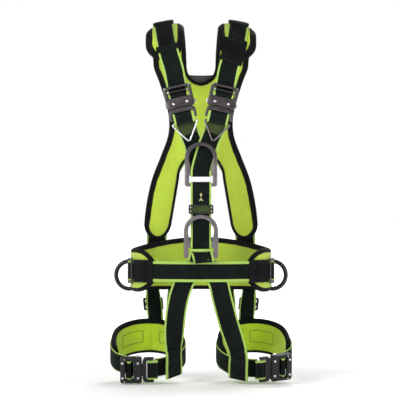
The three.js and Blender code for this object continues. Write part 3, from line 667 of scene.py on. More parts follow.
def webbing_finish(name, half, dark=BLACK_WEB, edge=EDGE_LIME, edge_width=4.1):
    """Herringbone webbing with coloured selvedges."""
    f = Finish(name, sheen_weight=0.02, sheen_roughness=0.4, specular_ior_level=0.07)
    along, across = f.pattern()
    zigzag = f.math("PINGPONG", across, 2.6)
    ribs = f.wave(f.math("ADD", along, zigzag), 1.5)
    warp = f.wave(across, 0.9)
    weave = f.math("MULTIPLY_ADD", ribs, 0.65, f.math("MULTIPLY", warp, 0.35))
    from_edge = f.math("SUBTRACT", half, f.math("ABSOLUTE", across))
    fibre = f.noise(0.7, 4.0)
    wander = f.math("MULTIPLY_ADD", f.noise(9, 2.0), 0.7, -0.35)
    selvedge = f.span(f.math("ADD", from_edge, wander), edge_width + 0.35, edge_width - 0.35)
    worn = f.span(f.noise(26, 4.0), 0.35, 0.75, 0.8, 1.45)
    core = f.mix(weave, shade(dark, 0.55), shade(dark, 1.5))
    core = f.mix(f.span(worn, 0.8, 1.5), core, shade(dark, 1.7))
    rim = f.mix(weave, shade(edge, 0.62), shade(edge, 1.12))
    rim = f.mix(f.span(fibre, 0.3, 0.7), rim, shade(edge, 0.85))
    color = f.mix(selvedge, core, rim)
    rough = f.span(fibre, 0.2, 0.8, 0.68, 0.9)
    height = f.math("MULTIPLY_ADD", fibre, 0.25, weave)
    return f.set(color, rough, f.bump(height, 0.32))


def woven(f, base, weave, fibre, rough, depth, under=None):
    """The end that plain weaves share: fibres over the weave, matt, with a bump."""
    height = f.math("MULTIPLY_ADD", fibre, 0.3, weave)
    return f.set(base, f.span(fibre, 0.2, 0.8, *rough), f.bump(height, depth, under))


def mesh_finish(name, color):
    """Spacer mesh: a knit with rows of small holes over foam."""
    f = Finish(name, sheen_weight=0.35, sheen_roughness=0.45, specular_ior_level=0.2)
    along, across = f.pattern()
    one = f.wave(f.math("ADD", along, across), 2.9)
    two = f.wave(f.math("SUBTRACT", along, across), 2.9)
    knit = f.math("MULTIPLY", one, two)
    hole = f.span(knit, 0.45, 0.86)
    yarn = f.wave(f.math("ADD", across, f.math("PINGPONG", along, 1.4)), 0.8)
    fibre = f.noise(0.6, 4.0)
    cloud = f.noise(70, 3.0)
    base = f.mix(f.span(cloud, 0.3, 0.7), shade(color, 0.88), shade(color, 1.07))
    base = f.mix(f.math("MULTIPLY", yarn, 0.35), base, shade(color, 0.8))
    base = f.mix(f.math("MULTIPLY", hole, 0.55), base, shade((0.30, 0.50, 0.025), 0.9))
    base = f.mix(f.span(f.noise(5, 4.0), 0.62, 0.8, 0.0, 0.25), base, shade(color, 0.7))
    height = f.math("SUBTRACT", f.math("MULTIPLY_ADD", yarn, 0.3, f.math("MULTIPLY", fibre, 0.25)), hole)
    puckers = f.bump(f.noise(14, 2.0), 0.8, f.bump(f.noise(48, 3.0), 3.0))
    return f.set(base, f.span(fibre, 0.2, 0.8, 0.78, 0.95), f.bump(height, 0.45, puckers))


def cloth_finish(name, color, pitch=1.3, depth=0.22, sheen=0.03):
    """Plain-woven cloth."""
    f = Finish(name, sheen_weight=sheen, sheen_roughness=0.4, specular_ior_level=0.07)
    along, across = f.pattern()
    weave = f.math("MULTIPLY", f.wave(along, pitch), f.wave(across, pitch))
    fibre = f.noise(0.8, 4.0)
    base = f.mix(weave, shade(color, 0.6), shade(color, 1.5))
    base = f.mix(f.span(f.noise(34, 3.0), 0.4, 0.75, 0.0, 0.7), base, shade(color, 2.1))
    return woven(f, base, weave, fibre, (0.72, 0.92), depth, f.bump(f.noise(11, 2.0), 0.7))


def tape_finish(name, color):
    """Ribbed binding tape."""
    f = Finish(name, sheen_weight=0.03, sheen_roughness=0.35, specular_ior_level=0.09)
    along, across = f.pattern()
    ribs = f.wave(f.math("ADD", along, f.math("MULTIPLY", f.noise(3, 2.0), 0.6)), 1.15)
    fibre = f.noise(0.7, 4.0)
    base = f.mix(ribs, shade(color, 0.6), shade(color, 1.6))
    base = f.mix(f.span(f.noise(22, 3.0), 0.45, 0.75, 0.0, 0.6), base, shade(color, 2.2))
    return woven(f, base, ribs, fibre, (0.62, 0.85), 0.25)


def metal_finish(name, color, rough, metallic=1.0, worn=(0.45, 0.43, 0.44), edge_wear_and_shade=0.5, coat=0.0,
                 dark_above=None):
    """Satin or coated metal: fine brushing, smudges, and edges and scratches turned to a set colour: rubbed
    wear where that colour is light, a painted dark rim of shade where it is dark.
    """
    f = Finish(name, metallic=metallic, coat_weight=coat, coat_roughness=0.25)
    stretched = f.node("Mapping", f.where, None, None, (1.0, 1.0, 0.12))
    brushed = f.noise(0.35, 3.0, where=stretched)
    grain, smudge, patches = f.noise(0.5, 3.0), f.noise(9, 4.0), f.noise(3.2, 4.0)
    pointed = f.node("NewGeometry", output="Pointiness")
    edge = f.math("MULTIPLY", f.span(pointed, 0.505, 0.56), f.span(patches, 0.35, 0.62))
    scratch = f.span(f.noise(0.9, 5.0, 0.7, stretched), 0.66, 0.74, 0.0, 0.5)
    base = f.mix(smudge, shade(color, 0.82), shade(color, 1.16))
    base = f.mix(f.math("MULTIPLY", brushed, 0.3), base, shade(color, 1.35))
    # a dark edge colour makes this painted shade, a dark rim on convex edges and scratches; a light one
    # makes it rubbed wear
    base = f.mix(f.math("MULTIPLY", f.math("MAXIMUM", edge, scratch), edge_wear_and_shade), base, worn)
    # painted shade: above the given heights the colour darkens, shade painted on a ring's arch
    if dark_above:
        height = f.node("SeparateXYZ", f.where, output=2)
        shaded = f.math("ADD", height, f.math("MULTIPLY_ADD", smudge, 0.012, -0.006))
        base = f.mix(f.span(shaded, *dark_above, 0.0, 0.72), base, shade(color, 0.22))
    roughness = f.math("ADD", f.span(smudge, 0.25, 0.75, rough - 0.07, rough + 0.09),
                       f.math("MULTIPLY", brushed, 0.08))
    height = f.math("MULTIPLY_ADD", brushed, 0.5, grain)
    return f.set(base, roughness, f.bump(height, 0.05, f.bump(patches, 0.06)))


def plastic_finish(name, color):
    """Moulded plastic with a fine spark-eroded grain."""
    f = Finish(name, specular_ior_level=0.45)
    grain, smudge = f.noise(0.6, 2.0), f.noise(12, 4.0)
    base = f.mix(smudge, shade(color, 0.8), shade(color, 1.35))
    base = f.mix(f.span(f.noise(2.2, 5.0), 0.62, 0.75, 0.0, 0.4), base, shade(color, 3.0))
    return f.set(base, f.span(smudge, 0.3, 0.7, 0.42, 0.6), f.bump(grain, 0.08))


def thread_finish(name, color):
    """Twisted sewing thread."""
    f = Finish(name, sheen_weight=0.3, sheen_roughness=0.3)
    twist = f.noise(0.45, 2.0)
    base = f.mix(twist, shade(color, 0.65), shade(color, 1.4))
    return f.set(base, f.span(twist, 0.2, 0.8, 0.5, 0.75), f.bump(twist, 0.12))


def row_heights(*heights):
    """Heights in the maker's frame, in metres in Blender's."""
    return tuple((height - HANG[2]) / 1000 for height in heights)


# painted shade: the chest ring is painted darker above these heights, standing in for shade on its arch
PAINTED_SHADE_BAND = (470, 505)  # heights between which the chest ring darkens

lime_mesh = mesh_finish("lime spacer mesh", LIME)
# painted light: the leg pads take a brighter copy of the lime mesh, making up for the shade they sit in
lime_mesh_painted_lit = mesh_finish("lime leg mesh with painted light", (0.62, 0.86, 0.025))
black_cloth = cloth_finish("black pack cloth", BLACK_CLOTH)
sleeve_cloth = cloth_finish("black sleeve cloth", (0.0045, 0.0056, 0.0052), 0.9, 0.16, 0.03)
binding_tape = tape_finish("black binding tape", (0.0035, 0.004, 0.004))
main_web = webbing_finish("main webbing", WEB / 2)
belt_web = webbing_finish("belt webbing", WEB / 2, edge_width=6.0)
thigh_web = webbing_finish("thigh webbing", WEB / 2, edge_width=2.2)
riser_web = webbing_finish("riser webbing", RISER_WIDTH / 2, edge_width=3.0)
seat_web = webbing_finish("seat webbing", SEAT_WIDTH / 2, edge_width=2.6)
olive_web = webbing_finish("olive stitched webbing", WEB / 2, OLIVE, shade(OLIVE, 1.5), 2.0)
grey_web = webbing_finish("grey neck webbing", 9.0, GREY_WEB, shade(GREY_WEB, 0.7), 1.2)
label_cloth = cloth_finish("woven label", (0.006, 0.007, 0.0075), 0.6, 0.1, 0.1)
label_mark = thread_finish("label mark thread", (0.45, 0.46, 0.20))
black_thread = thread_finish("black thread", (0.012, 0.013, 0.0125))
olive_thread = thread_finish("olive thread", (0.085, 0.11, 0.045))
# the satin steels and the gunmetal get a painted dark rim of shade on their edges and scratches
plate_steel = metal_finish("satin plate steel", (0.215, 0.19, 0.198), 0.32, worn=PAINTED_DARK_RIM, edge_wear_and_shade=0.9)
chest_steel_painted_shade = metal_finish("plate steel with painted arch shade", (0.215, 0.19, 0.198), 0.32, worn=PAINTED_DARK_RIM, edge_wear_and_shade=0.9,
                           dark_above=row_heights(*PAINTED_SHADE_BAND))
gunmetal = metal_finish("gunmetal alloy", (0.10, 0.09, 0.094), 0.3, worn=PAINTED_DARK_RIM, edge_wear_and_shade=0.9)
black_metal = metal_finish("black coated metal", (0.0065, 0.0065, 0.007), 0.42, 0.3,
                           (0.06, 0.06, 0.065), 0.35, 0.06)
bright_steel = metal_finish("bright plated steel", (0.55, 0.56, 0.57), 0.2, worn=(0.75, 0.75, 0.75))
black_plastic = plastic_finish("black moulded plastic", (0.013, 0.014, 0.015))


# ---------------------------------------------------------------- padded pieces
def smooth(pairs):
    """The CAD's smooth curve through (place, value) pairs."""
    place, value = np.array(pairs, float).T
    ends = np.arange(len(place))
    low, high = np.maximum(ends - 1, 0), np.minimum(ends + 1, len(place) - 1)
    slope = (value[high] - value[low]) / (place[high] - place[low])

    def read(at):
        k = np.clip(np.searchsorted(place, at, side="right"), 1, len(place) - 1)
        span = place[k] - place[k - 1]
        t = np.clip((at - place[k - 1]) / span, 0, 1)
        return (
            (2 * t**3 - 3 * t**2 + 1) * value[k - 1] + (t**3 - 2 * t**2 + t) * span * slope[k - 1]
            + (3 * t**2 - 2 * t**3) * value[k] + (t**3 - t**2) * span * slope[k]
        )

    return read


def settled(outline):
    """A closed outline with its corners eased."""
    for _ in range(2):
        outline = (np.roll(outline, 1, 0) + 2 * outline + np.roll(outline, -1, 0)) / 4
    return outline


class Pad:
    """Foam under cloth, cut to an outline (a, b, binding width) on a surface."""

    def __init__(self, surface, outline, thick, puff, lines=()):
        outline = settled(resample(outline, 4.0, closed=True))
        turning = np.sum(np.cross(outline[:, :2], np.roll(outline[:, :2], -1, 0)))
        outline = outline if turning > 0 else outline[::-1]
        self.outline = outline[:, :2]
        self.legs = sum(np.roll(outline[:, 2], k) for k in range(-5, 6)) / 11
        self.surface, self.thick, self.puff = surface, thick, puff
        self.lines = [resample(line, 4.0) for line in lines]
        ahead = unit(np.roll(self.outline, -1, 0) - np.roll(self.outline, 1, 0))
        self.inward = stack(-ahead[:, 1], ahead[:, 0])

    def crowned(self, depth):
        t = np.clip(np.asarray(depth, float) / ROLL, 0, 1)
        return RIM + (self.thick - RIM) * np.sqrt(1 - (1 - t) ** 2)

    def thickness(self, points):
        thick = self.crowned(distance(points, self.outline, True))
        for line in self.lines:
            near = distance(points, line)
            for depth, width in SEAM_DIP:
                thick -= depth * np.exp(-((near / width) ** 2))
        return np.maximum(thick, 1.5)

    def cells(self):
        """Triangles that fill the outline, with rows of points along every sewn line."""
        fixed, edges = [self.outline], []
        count = len(self.outline)
        for line in self.lines:
            side = np.gradient(line, axis=0)
            side = unit(stack(-side[:, 1], side[:, 0]))
            for offset in (0, -1.7, 1.7):
                row = line + side * offset
                if offset == 0:
                    edges += [(count + i, count + i + 1) for i in range(len(row) - 1)]
                fixed.append(row)
                count += len(row)
        low, high = self.outline.min(0), self.outline.max(0)
        xs = np.arange(low[0], high[0], CELL)
        ys = np.arange(low[1], high[1], CELL * 0.866)
        grid = stack(xs[None, :] + (np.arange(len(ys)) % 2 * CELL / 2)[:, None], ys[:, None])
        grid = grid.reshape(-1, 2)
        grid = grid[inside(grid, self.outline)]
        grid = grid[distance(grid, self.outline, True) > CELL * 0.6]
        for line in self.lines:
            grid = grid[distance(grid, line) > 3.4]
        points = np.vstack(fixed + [grid])
        ring = list(range(len(self.outline)))
        result = delaunay_2d_cdt([Vector(p) for p in points], edges, [ring], 1, 1e-5)
        return np.array([v[:] for v in result[0]]), np.array(result[2])

    def foam(self, name, outer, inner, body, nodes, outer_paint=None):
        flat, triangles = self.cells()
        thick = self.thickness(flat)
        sheets = [self.surface(flat[:, 0], flat[:, 1], k * thick / 2) for k in (1, -1)]
        count = len(flat)
        sides = np.vstack([triangles[:, [0, 1]], triangles[:, [1, 2]], triangles[:, [2, 0]]])
        edges, uses = np.unique(np.sort(sides, axis=1), axis=0, return_counts=True)
        rim = [tuple(edge) for edge in edges[uses == 1].tolist()]
        faces = [tuple(t) for t in triangles] + [tuple(count + i for i in t[::-1]) for t in triangles]
        faces += [(a, b, b + count, a + count) for a, b in rim]
        middle = flat[triangles].mean(1)
        tops = [0] * len(triangles) if outer_paint is None else outer_paint(middle).astype(int).tolist()
        paint = tops + [1] * len(triangles) + [0] * len(rim)
        shell = Shell().add(np.vstack(sheets), faces, np.vstack([flat, flat]), paint)
        piece = shell.make(name, [outer, inner], None, nodes, "lime_mesh", sharp=80)
        held = distance(flat, self.outline, True) < self.legs.max() + 1.5
        for line in self.lines:
            held |= distance(flat, line) < 1.2
        inflate(piece, np.flatnonzero(np.concatenate([held, held])), self.puff)
        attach(piece, body)

    def edge_point(self, depth, side, lift):
        """Points beside the outline on one face, and the way out from that face."""
        flat = self.outline + self.inward * np.asarray(depth)[..., None]
        out = side * (self.crowned(np.maximum(depth, 0)) / 2 + lift)
        at = self.surface(flat[:, 0], flat[:, 1], out)
        return at, unit(self.surface(flat[:, 0], flat[:, 1], out + side) - at)

    def binding(self, name, body, outer_leg=8.0):
        """Tape folded over the edge and sewn through."""
        count = len(self.outline)
        along = np.arange(count) * 4.0
        wander = 1 + 0.035 * np.sin(along / 17) + 0.02 * np.sin(along / 5.3 + 1)
        rows, across = [], []
        legs = {-1: self.legs * wander, 1: np.full(count, outer_leg) * wander}
        fold = ((1.0, -0.4), (0.97, 0.75), (0.8, 1.0), (0.6, 1.05), (0.4, 1.1), (0.2, 1.15), (0.06, 1.1))
        for side in (-1, 1):
            for share, lift in fold if side < 0 else fold[::-1]:
                rows.append(self.edge_point(legs[side] * share, side, lift)[0])
                across.append(side * legs[side] * share)
            if side < 0:
                for depth, out in ((-0.9, -1.6), (-1.5, 0), (-0.9, 1.6)):
                    flat = self.outline + self.inward * depth
                    rows.append(self.surface(flat[:, 0], flat[:, 1], out))
                    across.append(np.full(count, out / 4))
        for side, share in ((1, 0.9), (1, 0.3), (-1, 0.3), (-1, 0.9)):
            rows.append(self.edge_point(legs[side] * share, side, -1.0)[0])
            across.append(side * legs[side] * share)
        skin = np.stack(rows, 1)
        pattern = np.stack([stack(along, a) for a in across], 1)
        shell = Shell().loft(skin, pattern, closed=True)
        shell.make(name, [binding_tape], body, sharp=60)
        sewing = Shell()
        for side in (-1, 1):
            at, way = self.edge_point(legs[side] * 0.78, side, 1.1)
            stitches(sewing, np.vstack([at, at[:1]]), np.vstack([way, way[:1]]), 4.2, 0.8)
        sewing.make(name + "_stitching", [black_thread], body)

    def seam(self, shell, line, side):
        """Stitches along a sewn line on one face."""
        row = resample(line, 3.0)
        out = side * (self.thickness(row) / 2 + 0.1)
        at = self.surface(row[:, 0], row[:, 1], out)
        up = self.surface(row[:, 0], row[:, 1], out + side) - at
        stitches(shell, at, up, 3.2, 1.5)


def inflate(piece, held, pressure):
    """Cloth simulation: pressure fills the cover between its seams, which are held."""
    group = piece.vertex_groups.new(name="held")
    group.add([int(i) for i in held], 1.0, "REPLACE")
    cloth = piece.modifiers.new("puff", "CLOTH")
    settings = cloth.settings
    settings.quality, settings.mass = 4, 0.25
    settings.tension_stiffness = settings.compression_stiffness = 12
    settings.shear_stiffness, settings.bending_stiffness = 4, 0.6
    settings.use_pressure, settings.uniform_pressure_force = True, pressure
    settings.vertex_group_mass = "held"
    settings.effector_weights.gravity = 0
    cloth.point_cache.frame_start, cloth.point_cache.frame_end = 1, PUFF_FRAMES
    scene = bpy.context.scene
    for number in range(1, PUFF_FRAMES + 1):
        scene.frame_set(number)
    graph = bpy.context.evaluated_depsgraph_get()
    count = len(piece.data.vertices)
    rest, after = np.empty(count * 3), np.empty(count * 3)
    piece.data.vertices.foreach_get("co", rest)
    piece.evaluated_get(graph).data.vertices.foreach_get("co", after)
    move = (after - rest).reshape(-1, 3)
    size = np.linalg.norm(move, axis=1, keepdims=True)
    move *= np.minimum(1, PUFF_CAP / np.maximum(size, 1e-9))
    piece.modifiers.remove(cloth)
    piece.vertex_groups.clear()
    piece.data.vertices.foreach_set("co", (rest.reshape(-1, 3) + move).ravel())
    piece.data.update()
    scene.frame_set(1)


# ---- back pad with its shoulder arms, one X of foam
outer_edge = smooth(PAD_OUTER)
quarter = np.radians(np.linspace(0, 90, 13))
ARM_LEG, OUTER_LEG, NECK_LEG, CROTCH_LEG = 9.0, 11.5, 5.5, 4.6


def arm_edges(s):
    """Inner and outer x of a shoulder arm, from the seam over the shoulder."""
    climb = smoothstep(s, back(SEAM_Z), crest)
    seam_outer = outer_edge(SEAM_Z)
    center = lerp((NECK["half"] + seam_outer) / 2, LOBE["center"], climb)
    half = lerp((seam_outer - NECK["half"]) / 2, LOBE["half"], climb)
    return center - half, center + half


def back_outline():
    """The outline from the crotch down round one leg, up over the shoulder and back to the neck."""
    points = []

    def trace(x, s, leg):
        points.append(stack(x, s, leg))

    height = CROTCH["top"] - CROTCH["foot"]
    trace(CROTCH["half"] * np.sin(quarter), back(CROTCH["foot"] + height * np.cos(quarter)), CROTCH_LEG)
    tip_top = PAD_TIP["z"] + PAD_TIP["round"]

    def inner_edge(z):
        fall = (CROTCH["foot"] - z) / (CROTCH["foot"] - CROTCH["end_z"])
        return lerp(CROTCH["half"], CROTCH["end_half"], fall)

    z = np.linspace(CROTCH["foot"] - 4, tip_top, 24)
    trace(inner_edge(z), back(z), CROTCH_LEG)
    middle = (inner_edge(PAD_TIP["z"]) + outer_edge(PAD_TIP["z"])) / 2
    for edge, turn, leg in ((inner_edge, quarter, 5.5), (outer_edge, quarter[::-1], 9.0)):
        z = PAD_TIP["z"] + PAD_TIP["round"] * (1 - np.sin(turn))
        trace(middle + (edge(z) - middle) * np.cos(turn), back(z), leg)
    z = np.linspace(tip_top + 4, SEAM_Z - 2, 70)
    trace(outer_edge(z), back(z), OUTER_LEG)
    end = chest(LOBE["end"])
    s = np.linspace(back(SEAM_Z) + 2, end - LOBE["round"] - 1, 60)
    trace(arm_edges(s)[1], s, OUTER_LEG)
    for k, turn in ((1, quarter), (-1, quarter[::-1])):
        s_end = end - LOBE["round"] * (1 - np.sin(turn))
        trace(LOBE["center"] + k * LOBE["half"] * np.cos(turn), s_end, ARM_LEG)
    trace(arm_edges(s[::-1])[0], s[::-1], ARM_LEG)
    drop = NECK["top"] - NECK["bottom"]
    trace(NECK["half"] * np.cos(quarter), back(NECK["top"] - drop * np.sin(quarter)), NECK_LEG)
    half = np.vstack(points)
    return np.vstack([half, (half * (-1, 1, 1))[::-1]])


ARM_CURL, ARM_CURL_REACH = 9.0, 38  # how far the arms' edges drop, and over what length


def shoulders(x, s, out):
    """The torso with its arms' edges curling down where they cross the shoulder."""
    at = torso(x, s, out)
    reach = np.clip(abs(abs(np.asarray(x, float)) - LOBE["center"]) / LOBE["half"], 0, 1)
    at[..., 2] -= ARM_CURL * reach ** 3 * np.exp(-(((s - crest) / ARM_CURL_REACH) ** 2))
    return at


back_pad = Pad(shoulders, back_outline(), PAD_THICK, 0.9)
back_pad.foam("back_pad_foam", black_cloth, lime_mesh, "harness",
              ("back_pad", "right_shoulder_pad", "left_shoulder_pad"),
              outer_paint=lambda middle: middle[:, 1] > crest + 4)
over_shoulder = smoothstep(back_pad.outline[:, 1], back(SEAM_Z), crest)
back_pad.binding("back_pad_binding", "harness", lerp(8.0, 13.5, over_shoulder))


# ---- belt pad
def belt_outline():
    tip = 180 - BELT_PAD["tip_angle"]
    round_degrees = BELT_PAD["tip_round"] / BELT_MM_PER_DEGREE

    def row(from_back, share, edge):
        middle = lerp((BELT_PAD["low"] + BELT_PAD["back_high"]) / 2, BELT["z"],
                      np.minimum(from_back / 90, 1))
        high = lerp(BELT_PAD["back_high"], BELT_PAD["side_high"], smoothstep(from_back, 0, 90))
        limit = high if edge > 0 else BELT_PAD["low"]
        leg = lerp(7.5, 10.0, smoothstep(from_back, 120, 60)) if edge > 0 else 7.0
        return stack(waist.arc(180 - from_back), middle + (limit - middle) * share, leg)

    straight = np.linspace(0, tip - round_degrees, 60)[:-1]
    turned = tip - round_degrees * (1 - np.sin(quarter))
    half = np.vstack([
        row(straight, 1.0, 1), row(turned, np.cos(quarter), 1),
        row(turned[::-1], np.cos(quarter[::-1]), -1), row(straight[::-1], 1.0, -1),
    ])
    other = half[::-1].copy()
    other[:, 0] = 2 * waist.arc(180) - other[:, 0]
    return np.vstack([half, other])


WING_ANGLE = 84
belt_pad = Pad(belt, belt_outline(), BELT_THICK, 0.9)


def wing_paint(middle):
    """The outer face is lime on the front wings only."""
    from_back = abs(waist.degrees(middle[:, 0]) - 180)
    return from_back > 180 - WING_ANGLE


belt_pad.foam("belt_pad_foam", black_cloth, lime_mesh, "harness", ("belt_pad",), wing_paint)
belt_pad.binding("belt_pad_binding", "harness", outer_leg=7.5)

# ---- leg pads, each with two stitched panels (angles from the front) and a crease where it folds
PANELS = ((126, 170), (200, 246))
PANEL_HALF = 14.5
CREASE_ANGLE = 186.0
for side, name in SIDES:
    center = 180 + (LEG_PAD["outboard"] - LEG_PAD["inboard"]) / 2
    reach = center - LEG_PAD["outboard"]
    angle = np.concatenate([center - reach + np.linspace(0, 40, 24), np.linspace(
        center - reach + 44, center + reach - 44, 40), center + reach - np.linspace(40, 0, 24)])
    to_end = reach - abs(angle - center)
    half = lerp(LEG_PAD["end_half"], LEG_PAD["half"], smoothstep(to_end, 0, 55))
    half = half * np.sqrt(np.maximum(1 - (1 - np.minimum(to_end * 1.4 + 6, 24) / 24) ** 2, 0.06))
    arcs = leg_arc(side, angle)
    outline = np.vstack([stack(arcs, half, 8.5), stack(arcs[::-1], -half[::-1], 7.0)])
    panels = []
    for first, last in PANELS:
        box = rectangle(leg_arc(side, first), leg_arc(side, last), -PANEL_HALF, PANEL_HALF)
        panel = rounded(box, 3.0)
        panels.append(np.vstack([panel, panel[:1]]))
    crease = [(leg_arc(side, CREASE_ANGLE), -33.0), (leg_arc(side, CREASE_ANGLE), 33.0)]
    pad = Pad(leg_of(side), outline, PAD_THICK, 1.6, panels + [crease])
    pad.foam(f"{name}_leg_pad_foam", black_cloth, lime_mesh_painted_lit, "harness", (f"{name}_leg_pad",))
    pad.binding(f"{name}_leg_pad_binding", "harness")
    sewing = Shell()
    for panel in panels:
        pad.seam(sewing, panel, -1)
    sewing.make(f"{name}_leg_pad_stitching", [black_thread], "harness")


# ---------------------------------------------------------------- webbing
def strap(name, lay, material=main_web, nodes=(), body="harness", **options):
    return web(Shell(), lay, **options).make(name, [material], body, nodes)


def surface_rows(surface, points):
    """The same webbing line as (point, outward direction) rows in space."""
    return [
        (surface(a, b, out), surface(a, b, out + 1) - surface(a, b, out)) for a, b, out in points
    ]


def bend(piece):
    """Bakes a strap's placement into its mesh; the strap is not tied to the ring that it is wrapped round.
    """
    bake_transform(piece)


def on_face(lay, u, v, out):
    """Points on the face of webbing, and the way out from it."""
    at = lay[0](u, v, out)
    return at, lay[0](u, v, out + 1.0) - at


def across_rows(lay, share, width, out):
    """A line across webbing, for sewing."""
    return on_face(lay, share, np.arange(-width / 2, width / 2 + 1.0, 2.0), out)


def along_rows(lay, span, across, out):
    """A line along webbing, for sewing."""
    count = max(int(abs(span[1] - span[0]) * lay[1] / 3.0), 2)
    return on_face(lay, np.linspace(*span, count + 1), across, out)


def box_stitch(shell, lay, span, width, out, cross=True):
    """A sewn box, with a cross in it unless told otherwise, on the face of webbing."""
    corners = [(u, v * width / 2) for u, v in ((span[0], -1), (span[1], -1), (span[1], 1), (span[0], 1))]
    lines = [(corners[k], corners[(k + 1) % 4]) for k in range(4)]
    if cross:
        lines += [(corners[0], corners[2]), (corners[1], corners[3])]
    for (u0, v0), (u1, v1) in lines:
        t = np.linspace(0, 1, 14)
        stitches(shell, *on_face(lay, lerp(u0, u1, t), lerp(v0, v1, t), out), 3.4, 0.85)


sewing = Shell()
ON_FACE = THICK / 2 + 0.1

# ---- shoulder webbing with its caps, sleeves and keepers, and the webbing down the back
SHOULDER_PATH = [
    (30, back(610), ON_PAD), (46, back(650), ON_PAD), (67, back(700), ON_PAD),
    (80, back(755), ON_PAD), (84, crest, ON_PAD), (78, chest(755), ON_PAD),
    (69, chest(715), ON_PAD), (61, chest(690), 3.5), (55, chest(660), 0.5), (50, chest(628), 0),
]
BACK_PATH = [
    (23, back(542), ON_PAD), (50, back(501), ON_PAD), (73, back(462), ON_PAD),
    (87, back(415), ON_PAD), (98, back(345), ON_PAD), (102, back(275), ON_PAD + 3.5),
]
SLEEVE = {-1: {"patch": (783, 738), "keeper": (739, 726)}, 1: {"patch": (783, 750), "keeper": (752, 700)}}
PATCH_WIDTH, KEEPER_WIDTH, CAP_WIDTH = 37.0, 51.0, 46.0
CAP_ENDS = (765, 784)  # heights at which the shoulder cap ends, on the back and on the chest


def share_at(lay_points, path_length, s):
    """The fraction of a shoulder line at torso distance s."""
    path = Path(lay_points)
    return float(np.interp(s, path.dense[:, 1], path.place) / path_length)


for side, name in SIDES:
    points = [(side * x, s, out) for x, s, out in SHOULDER_PATH]
    lay = on_surface(torso, points)
    strap(f"{name}_shoulder_webbing", lay, nodes=(f"{name}_shoulder_strap",), step=4)

    def at(z, front=True, points=points, lay=lay):
        return share_at(points, lay[1], chest(z) if front else back(z))

    patch, keeper = SLEEVE[side]["patch"], SLEEVE[side]["keeper"]
    crest_at = share_at(points, lay[1], crest)
    cloth = Shell()
    web(cloth, lay, PATCH_WIDTH, 1.6, 3.0, (crest_at, at(patch[1])), out=2.2)
    web(cloth, lay, KEEPER_WIDTH, 1.7, 3.0, (at(keeper[0]), at(keeper[1])), out=3.6)
    cloth.make(f"{name}_shoulder_sleeve", [sleeve_cloth], "harness")
    # the cap: a flattened roll over the crest, fullest in its middle
    cap = Shell()
    cap_span = (at(CAP_ENDS[0], front=False), at(CAP_ENDS[1]))
    u = np.linspace(*cap_span, 22)[:, None]
    turn = np.linspace(0, math.tau, 22, endpoint=False)[None, :]
    swell = np.sqrt(np.clip(1 - (2 * (u - u.mean()) / (cap_span[1] - cap_span[0])) ** 2, 0.04, 1))
    flat_cos = np.sign(np.cos(turn)) * abs(np.cos(turn)) ** 0.45
    flat_sin = np.sign(np.sin(turn)) * abs(np.sin(turn)) ** 0.7
    across = CAP_WIDTH / 2 * flat_cos * (0.9 + 0.1 * swell)
    cap.loft(lay[0](u, across, 3.4 + 2.6 * swell * flat_sin), stack(u * lay[1], across))
    cap_piece = cap.make(f"{name}_shoulder_cap", [sleeve_cloth], "harness")
    for edge in (-1, 1):
        span = (crest_at + 0.02, at(patch[1] + 3))
        stitches(sewing, *along_rows(lay, span, edge * (PATCH_WIDTH / 2 - 2.5), 3.1))
    for z in (keeper[0] - 3, keeper[1] + 3):
        stitches(sewing, *across_rows(lay, at(z), KEEPER_WIDTH - 8, 4.5))
    box_stitch(sewing, lay, (0.01, 0.05), 34, ON_FACE)

    points = [(side * x, s, out) for x, s, out in BACK_PATH]
    lay = on_surface(torso, points)
    strap(f"{name}_back_webbing", lay, nodes=(f"{name}_back_strap",), step=5)
    box_stitch(sewing, lay, (0.04, 0.16), 34, ON_FACE)
    box_stitch(sewing, lay, (0.80, 0.92), 34, ON_FACE)

# ---- grey strap behind the neck
neck_path = [(x, back(669 + 0.0016 * x * x), ON_PAD + 2.6) for x in (-52, -30, -10, 10, 30, 52)]
neck_lay = on_surface(torso, neck_path)
strap("neck_webbing", neck_lay, grey_web, width=20, thick=1.8, step=3)
for end in ((0.01, 0.1), (0.9, 0.99)):
    box_stitch(sewing, neck_lay, end, 14, 1.1)


# ---- chest webbing: from the tongues to the chest ring
def ring_place(ring):
    lean = math.radians(90 - ring["lean"])
    return Place((1, 0, 0), (0, -math.sin(lean), math.cos(lean)), ring["hinge"])


chest_place, ventral_place = ring_place(CHEST_RING), ring_place(VENTRAL_RING)


def ring_rows(place, rows, x=0.0):
    """Rows in a ring's own frame: (x, up, out, facing up, facing out)."""
    return [
        (place.put((x + dx, y, z)), place.put((0, ny, nz)) - place.origin)
        for dx, y, z, ny, nz in rows
    ]


def round_crossbar(edge, half, way):
    """Rows where webbing turns round a crossbar's edge, from its front to its back."""
    return [(0, edge + way * 0.3, half - 1.6, way * 0.75, 0.7), (0, edge + way * WRAP, 0, way, 0),
            (0, edge + way * 0.3, 1.6 - half, way * 0.75, -0.7)]


